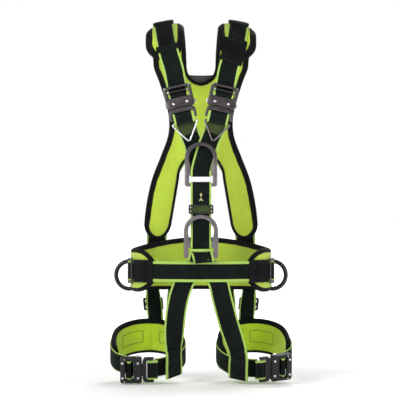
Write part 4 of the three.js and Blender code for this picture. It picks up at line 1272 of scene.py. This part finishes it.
SLOT_HALF_VISUAL = 8.4  # half the height of the chest ring's slot
WRAP = THICK / 2 + 0.5
FRONT_LAYER = THICK + 1.2
for side, name in SIDES:
    layer = FRONT_LAYER if side > 0 else 0
    path = [(42, chest(596), 0), (34.5, chest(568), 0), (25, chest(543), layer / 2),
            (15.5, chest(518), layer)]
    rows = surface_rows(torso, [(side * x, s, out) for x, s, out in path])
    if side > 0:
        half = CHEST_RING["thick"] / 2 + WRAP
        top, low = CHEST_RING["eye_low"], SLOT_HALF_VISUAL
        rows += [((6.5, -111.5, 489), (0, -1, -0.2)), ((2.0, -120.5, 472), (0, -1, -0.35))]
        rows += ring_rows(chest_place, [
            (0, top + 1.5, half + 0.6, 0.05, 1), (0, low + 3, half + 0.2, -0.1, 1),
            *round_crossbar(low, half, -1), (0, low + 3, -half - 0.2, 0.1, -1),
            (0, top + 3, -half - 1.2, 0.2, -1),
        ])
    else:
        rows += [((-9.5, -104.0, 489), (0, -1, -0.2)), ((-5.0, -109.5, 470), (0, -1, -0.3))]
    lay = in_space(rows)
    piece = strap(f"{name}_chest_webbing", lay, nodes=(f"{name}_chest_strap",), body=None, step=3)
    bend(piece)
    olive = web(Shell(), lay, 38, 1.5, 3, (0.16, 0.31) if side > 0 else (0.23, 0.42), out=2.0)
    olive.make(f"{name}_chest_reinforcement", [olive_web], "harness")
    olive_rows = Shell()
    first, last = (0.17, 0.30) if side > 0 else (0.24, 0.41)
    for share in np.linspace(first, last, 7):
        stitches(olive_rows, *across_rows(lay, share, 34, 2.85), 2.8, 0.9)
    olive_rows.make(f"{name}_chest_reinforcement_stitching", [olive_thread], "harness")

# ---- centre webbing between the two rings, in two lengths that meet at the adjuster
half = CHEST_RING["thick"] / 2 + WRAP
low = -SLOT_HALF_VISUAL
rows = ring_rows(chest_place, [
    (0, low - 14, -half - 2.4, -0.2, -1), (0, low - 4, -half - 0.3, 0, -1),
    *round_crossbar(low, half, 1)[::-1], (0, low - 3.5, half + 0.2, 0, 1), (0, low - 10, half + 0.2, 0, 1),
])
FORWARD = np.array((0.0, -1.0, 0.0))
rows += [(np.array(p, float), FORWARD) for p in ((0, -125.2, 413), (0, -119.8, 406), (0, -116.5, 399),
                                                 (0, -116.3, 388), (0, -116.3, 371))]
upper_lay = in_space(rows)
piece = strap("center_webbing_upper", upper_lay, nodes=("center_strap",), body=None, step=3)
bend(piece)

half = VENTRAL_RING["thick"] / 2 + WRAP
low = VENTRAL_RING["slot_high"] / 2
rows = [(np.array(p, float), FORWARD) for p in ((0, -115.6, 386), (0, -115, 370), (0, -114.4, 345),
                                                (0, -118.5, 322))]
rows += ring_rows(ventral_place, [
    (0, 17, half + 0.8, 0, 1), (0, low + 3, half + 0.2, -0.1, 1), *round_crossbar(low, half, -1),
    (0, low + 4, -half - 0.3, 0, -1), (0, 22, -half - 1.2, 0, -1),
])
lower_lay = in_space(rows)
piece = strap("center_webbing_lower", lower_lay, body=None, step=3)
bend(piece)

# ---- label on the centre webbing: an arrow over a chevron, no letters
LABEL = {"top": 427.0, "low": 391.0, "width": 30.0, "thick": 0.9}
LABEL_FACE = THICK / 2 + 0.35 + LABEL["thick"]
line = upper_lay[0](np.linspace(0, 1, 400), np.zeros(400), np.zeros(400))
after_bend = line[:, 1] < line[np.argmax(line[:, 2]), 1]
label_span = [
    float(np.flatnonzero(after_bend & (line[:, 2] > z))[-1]) / 399 for z in (LABEL["top"], LABEL["low"])
]
label = web(Shell(), upper_lay, LABEL["width"], LABEL["thick"], 2.0, tuple(label_span),
            out=LABEL_FACE - LABEL["thick"] / 2)
bend(label.make("label", [label_cloth], None))
marks = Shell()


def mark(outline):
    """A raised woven mark on the label; outline is (across, along) in mm from its top."""
    points = np.array(outline, float)
    count = len(points)
    u, v = label_span[0] + points[:, 1] / upper_lay[1], points[:, 0]
    sheets = [upper_lay[0](u, v, LABEL_FACE + k) for k in (-0.1, MARK_THICK)]
    faces = [tuple(range(count)), tuple(range(2 * count - 1, count - 1, -1))]
    faces += [(k, (k + 1) % count, count + (k + 1) % count, count + k) for k in range(count)]
    marks.add(np.vstack(sheets), faces, np.vstack([points, points]))


ARROW, CHEVRON = (
    [(-3.0, 17.0), (0, 12.0), (3.0, 17.0), (1.4, 17.0), (1.4, 22.0), (-1.4, 22.0), (-1.4, 17.0)],
    [(-5.0, 33.5), (0, 25.0), (5.0, 33.5), (2.2, 33.5), (0, 29.6), (-2.2, 33.5)],
)
for outline in (ARROW, CHEVRON):
    mark(outline)
bend(marks.make("label_marks", [label_mark], None))
label_sewing = Shell()
for edge in (-1, 1):
    stitches(label_sewing, *along_rows(upper_lay, label_span, edge * (LABEL["width"] / 2 - 1.8),
                                       LABEL_FACE + 0.1), 2.6, 0.7)
bend(label_sewing.make("label_stitching", [black_thread], None))

# ---- belt webbing all round, its sleeves and the side ring keepers
around = waist.arc(360)
belt_lay = (lambda u, v, w: belt(u * around, BELT["z"] + v, ON_BELT + w), around)
belt_shell = Shell()
section = web_section(WEB)
u = (np.arange(200) / 200)[:, None]
belt_rows = belt_lay[0](u, section[None, :, 0], section[None, :, 1])
belt_shell.loft(belt_rows, stack(u * around, section[None, :, 0]), closed=True)
belt_shell.make("belt_webbing", [belt_web], "harness", ("belt_front_strap", "belt_rear_strap"))


def belt_share(degrees):
    return waist.arc(degrees) / around


SLEEVE_ANGLES = (42.0, 68.5)
belt_sleeves = Shell()
for side, name in SIDES:
    span = (belt_share(side * SLEEVE_ANGLES[0]), belt_share(side * SLEEVE_ANGLES[1]))
    web(belt_sleeves, belt_lay, 50, 1.5, 3.5, span, out=THICK / 2 + 0.95)
    for degrees in (SLEEVE_ANGLES[0] + 1.4, SLEEVE_ANGLES[1] - 1.6, SLEEVE_ANGLES[0] + 4):
        stitches(sewing, *across_rows(belt_lay, belt_share(side * degrees), 42, 3.0))
    for edge in (-22.5, 22.5):
        stitches(sewing, *along_rows(belt_lay, span, edge, 3.0))
    keeper = place_on(belt, waist.arc(side * SIDE_RING["angle"]), SIDE_RING["z"] + 3, ON_BELT, (1, 0))
    round_bar = [(-20, 2.3), (-11, 2.7), (-7.1, 6.3), (-4.8, 11.4), (0, 13.3), (4.8, 11.4),
                 (7.1, 6.3), (11, 2.7), (20, 2.3)]
    keeper_lay = in_plane(keeper, round_bar)
    strap(f"{name}_side_ring_keeper", keeper_lay, riser_web, width=RISER_WIDTH, step=1.6)
    for share in (0.04, 0.14, 0.86, 0.96):
        stitches(sewing, *across_rows(keeper_lay, share, 28, ON_FACE))
belt_sleeves.make("belt_sleeves", [sleeve_cloth], "harness")
for degrees in (128, 152, 171, 189, 208, 232):
    box_stitch(sewing, belt_lay, (belt_share(degrees - 4.5), belt_share(degrees + 4.5)), 34, ON_FACE)

# ---- webbing loop that holds the dorsal ring
dorsal_at = place_on(torso, 0, back(DORSAL_RING["z"]), DORSAL_RING["out"], (0, 1))
dorsal_loop = in_plane(dorsal_at, [(-11, -8.2), (-9.2, -5.4), (-7.2, 0), (-4.9, 5.5), (0, 7.6),
                                   (4.9, 5.5), (7.2, 0), (9.2, -5.4), (11, -8.2)])
strap("dorsal_ring_loop", dorsal_loop, width=40, step=1.4)

# ---- leg loops: thigh webbing, front straps, risers and seat straps
PAD_RISE = (36, 58)  # degrees from the front between which the thigh webbing climbs onto the pad
FOOT_ANGLE, FOOT_OUT = -39, 15  # where the front webbing meets the leg loop
for side, name in SIDES:
    leg = leg_of(side)
    angles = np.concatenate([np.linspace(24, 66, 8), np.linspace(80, 286, 10), np.linspace(297, 348, 8)])
    rise = smoothstep(np.minimum(angles, 360 - angles), *PAD_RISE)
    outs = lerp(0.5, ON_PAD, rise)
    thigh_lay = on_surface(leg, [(leg_arc(side, a), 0.0, out) for a, out in zip(angles, outs)])
    strap(f"{name}_thigh_webbing", thigh_lay, thigh_web, (f"{name}_thigh_strap",), step=4)
    for share in (0.30, 0.66):
        box_stitch(sewing, thigh_lay, (share, share + 0.05), 34, ON_FACE)

    foot_arc, foot_out = leg_arc(side, FOOT_ANGLE), FOOT_OUT
    behind_belt = 3 if side > 0 else -1
    ring_half = VENTRAL_RING["thick"] / 2 + WRAP + (FRONT_LAYER - 0.6 if side > 0 else 0)
    round_edge = 19.6 + (FRONT_LAYER if side > 0 else 0)
    rows = ring_rows(ventral_place, [
        (0, -6.6 + WRAP, 0.6, 1, 0.3), (side * 0.5, -7.2, ring_half - 1.2, 0.7, 0.7),
        (side * 2, -11, ring_half + 0.2, 0, 1), (side * 3.6, -15.6, ring_half - 0.4, -0.2, 1),
        (side * 4.6, -round_edge, 0.4, -0.9, 0.45),
    ], x=side * 1.0)
    rows += [(np.array((side * 7.4, -112.6 - behind_belt * 0.2, 262.0)), np.array((0, -0.95, -0.3)))]
    rows += surface_rows(belt, [(waist.arc(side * 9.5), 244, behind_belt),
                                (waist.arc(side * 14), 221, behind_belt)])
    between = ((46, -103, 184), (60, -94, 131)) if side > 0 else ((49, -101, 184), (57, -92, 131))
    rows += [(np.array((side * x, y, z), float), FORWARD) for x, y, z in between]
    rows += surface_rows(leg, [(foot_arc, h, foot_out) for h in (34, 4, -24)])
    front_lay = in_space(rows)
    piece = strap(f"{name}_leg_front_webbing", front_lay, nodes=(f"{name}_leg_front_strap",),
                  body=None, step=4)
    bend(piece)
    foot = web(Shell(), front_lay, 46, 2.0, 4, (0.792, 0.999), out=2.3)
    foot.make(f"{name}_leg_front_end", [main_web], "harness")
    for share in (0.80, 0.815):
        stitches(sewing, *across_rows(front_lay, share, 38, 3.4))
    box_stitch(sewing, front_lay, (0.86, 0.97), 34, 3.4)

    turn = LEG_TURN[side]
    hung = {}
    for key, belt_angle, leg_angle in (("riser", 136, 190), ("seat", 157, 217)):
        upper = surface_rows(belt, [(waist.arc(side * belt_angle), z, ON_BELT + (2.8 if z > 215 else 0.8))
                                    for z in (233, 217, 196)])
        lower = surface_rows(leg, [(leg_arc(side, leg_angle - turn), h, ON_PAD + out)
                                   for h, out in ((44, 2.2), (25, 2.6), (6, 3.0))])
        hung[key] = in_space(upper + lower)
    strap(f"{name}_riser_webbing", hung["riser"], riser_web, (f"{name}_riser",), width=RISER_WIDTH, step=4)
    strap(f"{name}_seat_webbing", hung["seat"], seat_web, (f"{name}_seat_strap",), width=SEAT_WIDTH, step=4)
    for lay, width in ((hung["riser"], 28), (hung["seat"], 22)):
        box_stitch(sewing, lay, (0.01, 0.09), width, ON_FACE)
        box_stitch(sewing, lay, (0.91, 0.99), width, ON_FACE)

sewing.make("webbing_stitching", [black_thread], "harness")


# ---------------------------------------------------------------- hardware
class Wrapped:
    """A flat pattern laid on a surface, about a point of it."""

    def __init__(self, surface, a, b):
        self.surface, self.a, self.b = surface, a, b

    def put(self, points):
        points = np.asarray(points, float)
        return self.surface(self.a + points[..., 0], self.b + points[..., 1], points[..., 2])


def ring_plate(name, ring, place, slot_high):
    """A D ring cut from plate: an eye, a crossbar and, below it, a slot for webbing."""
    half, foot = ring["width"] / 2, 6.0
    middle = ring["top"] - half
    feet = rounded([(half, middle), (-half, middle), (-half, ring["bottom"]), (half, ring["bottom"])],
                   (0.1, 0.1, foot, foot))
    corners = feet[(feet[:, 1] < middle - 1)]
    outline = np.vstack([arc((0, middle), half, 0, 180, 72), corners])
    inner = half - ring["arch"]
    sweep = math.degrees(0.35)
    eye = arc((0, middle), inner, -sweep, 180 + sweep, 72)
    foot_points = rounded([(-ring["eye_half"], middle), (-ring["eye_half"], ring["eye_low"]),
                           (ring["eye_half"], ring["eye_low"]), (ring["eye_half"], middle)],
                          (0.1, 3.5, 3.5, 0.1))
    foot_points = foot_points[foot_points[:, 1] < middle - inner * math.sin(0.35) - 2]
    contours = [outline, np.vstack([eye, foot_points])]
    if slot_high:
        s, h, n = ring["slot_half"], slot_high / 2, ring["notch"]
        if n:
            slot = [(-s - n, -h), (-s, -h + 2), (s, -h + 2), (s + n, -h), (s + n, h), (s, h), (-s, h),
                    (-s - n, h)]
            contours.append(rounded(slot, 1.2))
        else:
            contours.append(rounded(rectangle(-s, s, -h, h), 2.2))
    half_thick = ring["thick"] / 2
    shell = plate(Shell(), contours, -half_thick, half_thick, 1.9, place, rounds=5)
    steel = chest_steel_painted_shade if name == "chest_ring" else plate_steel
    return shell.make(name + "_plate", [steel], name, (name,), "plate_steel", sharp=PLATE_SHARP)


ring_plate("chest_ring", CHEST_RING, chest_place, 2 * SLOT_HALF_VISUAL)
ring_plate("ventral_ring", VENTRAL_RING, ventral_place, VENTRAL_RING["slot_high"])
dorsal_up = torso(0, back(DORSAL_RING["z"] + 60), DORSAL_RING["out"]) - dorsal_at.origin
dorsal_normal = np.cross((1, 0, 0), unit(dorsal_up))
dorsal_place = Place((1, 0, 0), dorsal_normal, dorsal_at.origin)
ring_plate("dorsal_ring", DORSAL_RING, dorsal_place, 0)

# ---- lime edge of the folded leg webbing in the ventral ring's slot
slot_edge = Shell()
u = np.linspace(0, 1, 24)[:, None]
turn = np.linspace(0, math.tau, 14, endpoint=False)[None, :]
edge_at = Path([(-23, -1.2), (-20, -0.4), (0, 0.0), (20, -0.4), (23, -1.2)]).at(u)
edge_rows = ventral_place.put(stack(edge_at[..., 0] + 0 * turn, edge_at[..., 1] + 3.0 * np.cos(turn),
                                    2.2 + 1.9 * np.sin(turn)))
slot_edge.loft(edge_rows, stack(u * 46, 23.5 + 0 * turn))
slot_edge.make("ventral_slot_fold", [main_web], "ventral_ring")

# ---- dorsal plate
RIB_HIGH = PAD_THICK / 2 + CLEAR + 4.8  # the plate's outer face
dorsal_plate = Wrapped(torso, 0, back(576))
plate_outline = rounded(rectangle(-42, 42, -28, 28), 15, 10)
holes = [rounded(rectangle(-21, 21, -1.6, 3.2), 2, 3), rounded(rectangle(-21, 21, 20.4, 25), 2, 3)]
dense = [resample(contour, 3.0, closed=True) for contour in [plate_outline] + holes]
shell = plate(Shell(), dense, PAD_THICK / 2 + CLEAR, RIB_HIGH, 1.5, dorsal_plate)
for y in (-20, -14, -8):
    rib = resample(rounded(rectangle(-26, 26, y - 1.1, y + 1.1), 1.0, 3), 2.0, closed=True)
    plate(shell, [rib], RIB_HIGH - 0.6, RIB_HIGH + 0.9, 0.7, dorsal_plate)
shell.make("dorsal_plate_moulding", [black_plastic], "harness", ("dorsal_plate",), "black_plastic")


# ---- three-bar sliders with the webbing that they hold
SLIDER_THICK = 3.0


def slider(name, place, wide, high, side_bar, hump, hump_width, hump_finish, corner=5.0):
    """A frame whose middle bar runs across the webbing; the hump is (along, out) over that bar."""
    across, up = wide / 2, high / 2
    outline = rounded(rectangle(-across, across, -up, up), corner)
    windows = [
        rounded(rectangle(x0, x1, -up + side_bar, up - side_bar), 1.4, 3)
        for x0, x1 in ((-across + side_bar, -side_bar / 2), (side_bar / 2, across - side_bar))
    ]
    frame_shell = plate(Shell(), [outline] + windows, -SLIDER_THICK / 2, SLIDER_THICK / 2, 0.9, place, 4)
    frame_shell.make(name + "_frame", [black_metal], name, (name,), "black_metal", sharp=PLATE_SHARP)
    lay = in_plane(place, hump)
    strap(name + "_webbing", lay, hump_finish, body=name, width=hump_width, thick=2.0, step=1.2)


FLAT_HUMP = [(-10.4, -1.35), (-7.4, -0.8), (-4.0, 1.5), (0, 2.8), (4.0, 1.5), (7.4, -0.8), (10.4, -1.35)]
SMALL_HUMP = [(-8.6, -1.2), (-5.4, 0.3), (-2.8, 2.1), (0, 2.7), (2.8, 2.1), (5.4, 0.3), (8.6, -1.2)]
RISER_HUMP = [(-21, -7.6), (-13, -4.4), (-6.4, 0.2), (-3.0, 2.2), (0, 2.8), (3.0, 2.2), (6.4, 0.2),
              (13, -4.4), (21, -7.6)]
RISER_LIFT = 5.8
CENTER_SLIDER = {"y": -115.8, "z": 379}
center_place = Place((0, 0, 1), FORWARD, (0, CENTER_SLIDER["y"] - SLIDER_OUT, CENTER_SLIDER["z"]))
slider("center_adjuster", center_place, 20, 54, 3.6, SMALL_HUMP, 41, olive_web, 4.0)
for side, name in SIDES:
    place = place_on(belt, waist.arc(side * 77), BELT["z"], ON_BELT + SLIDER_OUT, (side, 0))
    slider(f"{name}_belt_adjuster", place, 32, 56, 6, FLAT_HUMP, 43, main_web)
    leg, turned = leg_of(side), LEG_TURN[side]
    cad_rows = surface_rows(belt, [(waist.arc(side * 136), z, ON_BELT) for z in (217, 196)])
    cad_rows += surface_rows(leg, [(leg_arc(side, 190 - turned), h, ON_PAD + 2.2) for h in (44, 25)])
    middle_at = in_space(cad_rows)[0]
    line = middle_at(np.array([0.49, 0.5, 0.51]), 0.0, 0.0)
    way_out = middle_at(np.array([0.5]), 0.0, 1.0)[0] - line[1]
    place = Place(line[2] - line[0], way_out, line[1] + unit(way_out) * (SLIDER_OUT + RISER_LIFT))
    slider(f"{name}_riser_adjuster", place, 30, 46, 5, RISER_HUMP, 34, riser_web)

    # ---- side ring
    corner, ring_half = 7.0, SIDE_RING["high"] / 2
    t = np.linspace(0, 1, 8)[:, None]
    start_corner = (1 - t) ** 2 * np.array((0, ring_half - corner)) + 2 * t * (1 - t) * np.array(
        (0, ring_half)) + t * t * np.array((corner, ring_half))
    bow = arc((corner, 0), (SIDE_RING["deep"] - corner, ring_half), 90, -90, 60)
    outline = np.vstack([start_corner, bow[1:-1], (start_corner * (1, -1))[::-1]])
    bar_out = ON_BELT + THICK / 2 + CLEAR + SIDE_RING["bar"] / 2
    stand = Place((side, 0, 0), (0, -side, 0), belt(waist.arc(side * SIDE_RING["angle"]),
                                                    SIDE_RING["z"], bar_out))
    shell = bar(Shell(), outline, SIDE_RING["bar"] / 2, stand, step=2.0, sides=22)
    shell.make(f"{name}_side_ring_bar", [black_metal], f"{name}_side_ring", (f"{name}_side_ring",),
               "black_metal", sharp=60)


# ---- quick-connect buckles
WINDOW_HALF = 24  # half the height of the adjuster's window
LEVER_SLOT = -14  # where the lever slots end, along the buckle


def buckle(prefix, sizes, place, body_metal, dark):
    """Receiver, rivets, tongue with its webbing, two levers, and the adjuster bar with its fold."""
    half, length, thick = BUCKLE["half"], sizes["length"], BUCKLE["thick"]
    low, high = BUCKLE["cavity"]
    w0, w1 = sizes["window"]
    outline = rounded(rectangle(-length, 0, -half, half), BUCKLE["corner"])
    window = rounded(rectangle(w0, w1, -WINDOW_HALF, WINDOW_HALF), 2.5)
    dip = stack(-2.6 * np.cos(np.linspace(-0.5, 0.5, 15) * math.pi), np.linspace(-22, 22, 15))
    cover = np.vstack([outline[:14], dip, outline[14:]])
    shell = Shell()
    plate(shell, [outline, window], 0, low + 0.1, 0.7, place)
    inset = half - 0.5
    blade_end = -sizes["blade"] - 2
    cavity = BUCKLE["cavity_half"]
    if blade_end < LEVER_SLOT - 1:  # the blade reaches past the lever slots
        middle = rounded([(-length + 0.5, -inset), (LEVER_SLOT, -inset), (LEVER_SLOT, -cavity),
                          (blade_end, -cavity), (blade_end, cavity), (LEVER_SLOT, cavity),
                          (LEVER_SLOT, inset), (-length + 0.5, inset)],
                         (6, 0.6, 0.6, 0.6, 0.6, 0.6, 0.6, 6))
    else:
        middle = rounded(rectangle(-length + 0.5, LEVER_SLOT, -inset, inset), (6, 0.6, 0.6, 6))
    plate(shell, [middle, window], low - 0.1, high + 0.1, 0.15, place, rounds=2)
    for sign in (-1, 1):
        jaw = rectangle(-4, -0.6, *sorted((sign * (cavity + 0.6), sign * (inset - 2))))
        plate(shell, [rounded(jaw, 0.6, 3)], low - 0.1, high + 0.1, 0.15, place, rounds=2)
    plate(shell, [cover, window], high, thick, 1.25, place, rounds=4)
    shell.make(f"{prefix}_receiver_body", [body_metal], "harness", (f"{prefix}_receiver",),
               "black_metal" if dark else "gunmetal", sharp=PLATE_SHARP)
    rivets = Shell()
    dome = [(3.0, thick - 0.3), (3.0, thick + 0.25), (2.6, thick + 0.8), (1.7, thick + 1.15),
            (0.6, thick + 1.25), (0.05, thick + 1.27)]
    for x, y in sizes["rivets"]:
        for sign in (-1, 1):
            lathe(rivets, dome, place, (x, sign * y), 20)
    for sign in (-1, 1):
        lathe(rivets, [(1.5, thick - 0.3), (1.5, thick + 0.3), (0.05, thick + 0.5)], place,
              (w0 - 2.0, sign * 27), 14)
    rivets.make(f"{prefix}_rivets", [bright_steel], "harness", (), "bright_steel")

    yoke = rounded(
        [(0.6, -20), (0.6, 20), (4, 30), (26, 30), (26, 24.3), (10, 24.3), (10, -24.3), (26, -24.3),
         (26, -30), (4, -30)], (9, 9, 7, 2.8, 2.8, 5, 5, 2.8, 2.8, 7))
    shell = plate(Shell(), [yoke], 1.6, 9.2, 1.5, place, rounds=5)
    plate(shell, [rounded(rectangle(-sizes["blade"], 5, -14.5, 14.5), 2.0)], 3.9, 6.9, 0.6, place)
    plate(shell, [rounded(rectangle(3.2, 8.0, -12, 12), 1.6)], 9.0, 9.75, 0.35, place)
    shell.make(f"{prefix}_tongue_yoke", [body_metal], f"{prefix}_tongue", (f"{prefix}_tongue",),
               "black_metal" if dark else "gunmetal", sharp=PLATE_SHARP)
    end = 10.4 + sizes["loop"]
    loop_path = [(end, 5.1), (24, 5.2), (15, 5.0), (12.2, 6.7), (15, 8.3), (22, 8.4), (30, 7.9),
                 (end, 7.5)]
    loop_lay = in_plane(place, loop_path)
    loop = web(Shell(), loop_lay, WEB, 2.1, 1.4)
    loop.make(f"{prefix}_tongue_webbing", [main_web], f"{prefix}_tongue", (f"{prefix}_tongue_loop",))
    loop_threads = Shell()
    box_stitch(loop_threads, loop_lay, (0.66, 0.96), 33, 1.15, cross=False)
    loop_threads.make(f"{prefix}_tongue_stitching", [black_thread], f"{prefix}_tongue")

    for sign, edge in ((-1, "lower"), (1, "upper")):
        shell = Shell()
        outline = rounded(rectangle(-13.5, -4.5, *sorted((sign * 18.3, sign * 34.6))), 1.6)
        plate(shell, [outline], 3.8, 7.0, 1.0, place, rounds=4)
        for y in (30.2, 31.8, 33.4):
            ridge = rounded(rectangle(-12, -6, *sorted((sign * (y - 0.45), sign * (y + 0.45)))), 0.4, 3)
            plate(shell, [ridge], 6.8, 7.45, 0.3, place, rounds=2)
        shell.make(f"{prefix}_{edge}_lever_pad", [bright_steel], f"{prefix}_{edge}_lever",
                   (f"{prefix}_{edge}_lever",), "bright_steel", sharp=PLATE_SHARP)

    center = Place(place.x, place.z, place.put((sizes["bar"], 0, 5.5)))
    reach, radius = 23.6, 3.2
    profile = [(2.9, -19.5), (radius, -19.0)]
    for y in np.arange(-17.5, 17.6, 1.4):
        profile += [(radius - dip, y + at) for dip, at in ((0, -0.5), (0.35, -0.25), (0.35, 0.25), (0, 0.5))]
    profile += [(radius, 19.0), (2.9, 19.5)]
    cap_end = [(0.05, reach), (2.0, reach - 0.05), (2.7, reach - 0.5), (2.9, reach - 1.4), (2.9, 19.6),
               (0.05, 19.6)]
    shell = lathe(Shell(), [(0.05, -19.5)] + profile + [(0.05, 19.5)], center, (0, 0), 26, axis="y")
    lathe(shell, cap_end[::-1], center, (0, 0), 22, axis="y", paint=1)
    lathe(shell, [(r, -y) for r, y in cap_end], center, (0, 0), 22, axis="y", paint=1)
    shell.make(f"{prefix}_adjuster_roller", [black_metal, black_metal if dark else bright_steel],
               f"{prefix}_adjuster_bar", (f"{prefix}_adjuster_bar",), "bright_steel", sharp=30)
    fold = [(-22.2, 2.4), (-27, 1.4), (-31.0, 2.6), (-32.2, 5.4), (-30.6, 8.2), (-26.5, 9.2), (-22.2, 8.6)]
    if dark:
        strap(f"{prefix}_adjuster_tail", in_plane(place, [(-36.3, 0.7), (-28, 0.6), (-19.7, 0.7)]),
              width=46.6, thick=0.8, step=2)
        fold = [(-32.4, 2.9), (-32.3, 5.4), (-30.8, 8.7), (-28.2, 9.9), (-26.2, 9.2), (-25.3, 7.4)]
    strap(f"{prefix}_adjuster_fold", in_plane(place, fold), body=f"{prefix}_adjuster_bar", width=44,
          thick=2.1, step=1.2)


for side, name in SIDES:
    tilt = math.radians(CHEST_BUCKLE["tilt"])
    place = place_on(torso, side * CHEST_BUCKLE["x"], chest(CHEST_BUCKLE["z"]), CHEST_BUCKLE["out"],
                     (-side * math.sin(tilt), math.cos(tilt)))
    buckle(f"{name}_chest", CHEST_BUCKLE, place, gunmetal, False)
    wire_place = Place(place.x, place.z, place.put((WIRE["along"], 0, WIRE["out"])))
    wire_place = wire_place.turned(-WIRE["lean"])
    triangle = rounded([(0, -WIRE["half"]), (0, WIRE["half"]), (WIRE["deep"], 0)], (5, 5, 7), 8)
    shell = bar(Shell(), triangle, WIRE["bar"] / 2, wire_place, step=1.6, sides=16)
    # painted highlight: the right wire triangle takes bright plated steel where it catches the light, the
    # left one plate steel
    shell.make(f"{name}_wire_triangle", [bright_steel if side < 0 else plate_steel],
               f"{name}_wire_ring", (f"{name}_wire_ring",), "bright_steel", sharp=60)

    leg = leg_of(side)
    place = place_on(leg, leg_arc(side, LEG_BUCKLE["angle"]), 0, LEG_BUCKLE["out"], (-1, 0))
    buckle(f"{name}_leg", LEG_BUCKLE, place.turned(LEG_BUCKLE["yaw"]), black_metal, True)


# ---------------------------------------------------------------- floor, light and camera
lowest, highest = (np.array(corner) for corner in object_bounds())
studio = Finish("pale floor", specular_ior_level=0.1, emission_color=(1, 1, 1, 1))
studio_tint = studio.mix(studio.noise(400, 3.0), (0.90, 0.90, 0.90), (0.94, 0.94, 0.94))
studio.set(studio_tint, studio.span(studio.noise(60, 2.0), 0.3, 0.7, 0.85, 0.95))
away = studio.node("VectorMath", studio.where, (0, 0, 0), operation="DISTANCE", output=1)
GLOW = (0.35, 2.2)  # metres from the frame's origin over which the floor turns to plain white
glow = studio.node("MapRange", away, *GLOW, 0.0, 1.0, interpolation_type="SMOOTHSTEP")
studio.feed(studio.shader.inputs["Emission Strength"], glow)
floor_mesh = bpy.data.meshes.new("floor")
FLOOR_RADIUS = 30.0
rim = [(FLOOR_RADIUS * math.cos(a), FLOOR_RADIUS * math.sin(a), lowest[2] - 0.001)
       for a in np.linspace(0, math.tau, 64, endpoint=False)]
floor_mesh.from_pydata(rim, [], [tuple(range(64))])
floor_mesh.materials.append(studio.material)
floor = bpy.data.objects.new("floor", floor_mesh)
bpy.context.scene.collection.objects.link(floor)
floor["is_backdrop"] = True

# the sky is white near the horizon except towards -Y, and darker above
world = bpy.data.worlds.new("studio")
world.use_nodes = True
sky = world.node_tree
toward = sky.nodes.new("ShaderNodeSeparateXYZ")
band, front, level = (sky.nodes.new("ShaderNode" + kind) for kind in ("Math", "MapRange", "MapRange"))
band.operation, front.interpolation_type, level.interpolation_type = "ABSOLUTE", "SMOOTHSTEP", "SMOOTHSTEP"
sky.links.new(sky.nodes.new("ShaderNodeTexCoord").outputs["Generated"], toward.inputs[0])
sky.links.new(toward.outputs[2], band.inputs[0])
sky.links.new(toward.outputs[1], front.inputs[0])
sky.links.new(band.outputs[0], level.inputs[0])
sky.links.new(front.outputs[0], level.inputs[3])
for node, values in ((front, (-0.6, 0.0, 0.45, 1.0)), (level, (0.1, 0.35, 1.0, 0.38))):
    for socket, value in zip(list(node.inputs)[1:5], values):
        if not socket.is_linked:
            socket.default_value = value
sky.links.new(level.outputs[0], sky.nodes["Background"].inputs["Strength"])
sky.nodes["Background"].inputs["Color"].default_value = (1, 1, 1, 1)
bpy.context.scene.world = world
bpy.context.scene.view_settings.view_transform = "Standard"


def softbox(name, at, target, size, power):
    light = bpy.data.lights.new(name, "AREA")
    light.shape, light.size, light.size_y, light.energy = "RECTANGLE", size[0], size[1], power
    lamp = bpy.data.objects.new(name, light)
    lamp.location = at
    lamp.rotation_euler = (Vector(target) - Vector(at)).to_track_quat("-Z", "Y").to_euler()
    bpy.context.scene.collection.objects.link(lamp)


middle = (lowest + highest) / 2
softbox("key", middle + (-1.3, -1.9, 1.3), middle, (1.2, 1.2), 42)
softbox("fill", middle + (1.8, -1.6, 0.4), middle, (1.4, 1.8), 20)
softbox("rim", middle + (0.6, 1.9, 1.5), middle, (1.4, 0.9), 34)

CAMERA_X, CAMERA_Z = -2.2, 399.3  # the picture's middle, in the maker's frame
FIELD, CAMERA_DISTANCE = 880.0, 5000.0
FRONT_Y = -60.0  # the depth at which the field is that wide
camera_data = bpy.data.cameras.new("camera")
camera_data.sensor_width = 36
camera_data.lens = 36 * CAMERA_DISTANCE / FIELD
camera_data.clip_end = 200
camera = bpy.data.objects.new("camera", camera_data)
camera.location = (np.array([CAMERA_X, FRONT_Y - CAMERA_DISTANCE, CAMERA_Z]) - HANG) / 1000
camera.rotation_euler = (math.pi / 2, 0, 0)
bpy.context.scene.collection.objects.link(camera)
bpy.context.scene.camera = camera
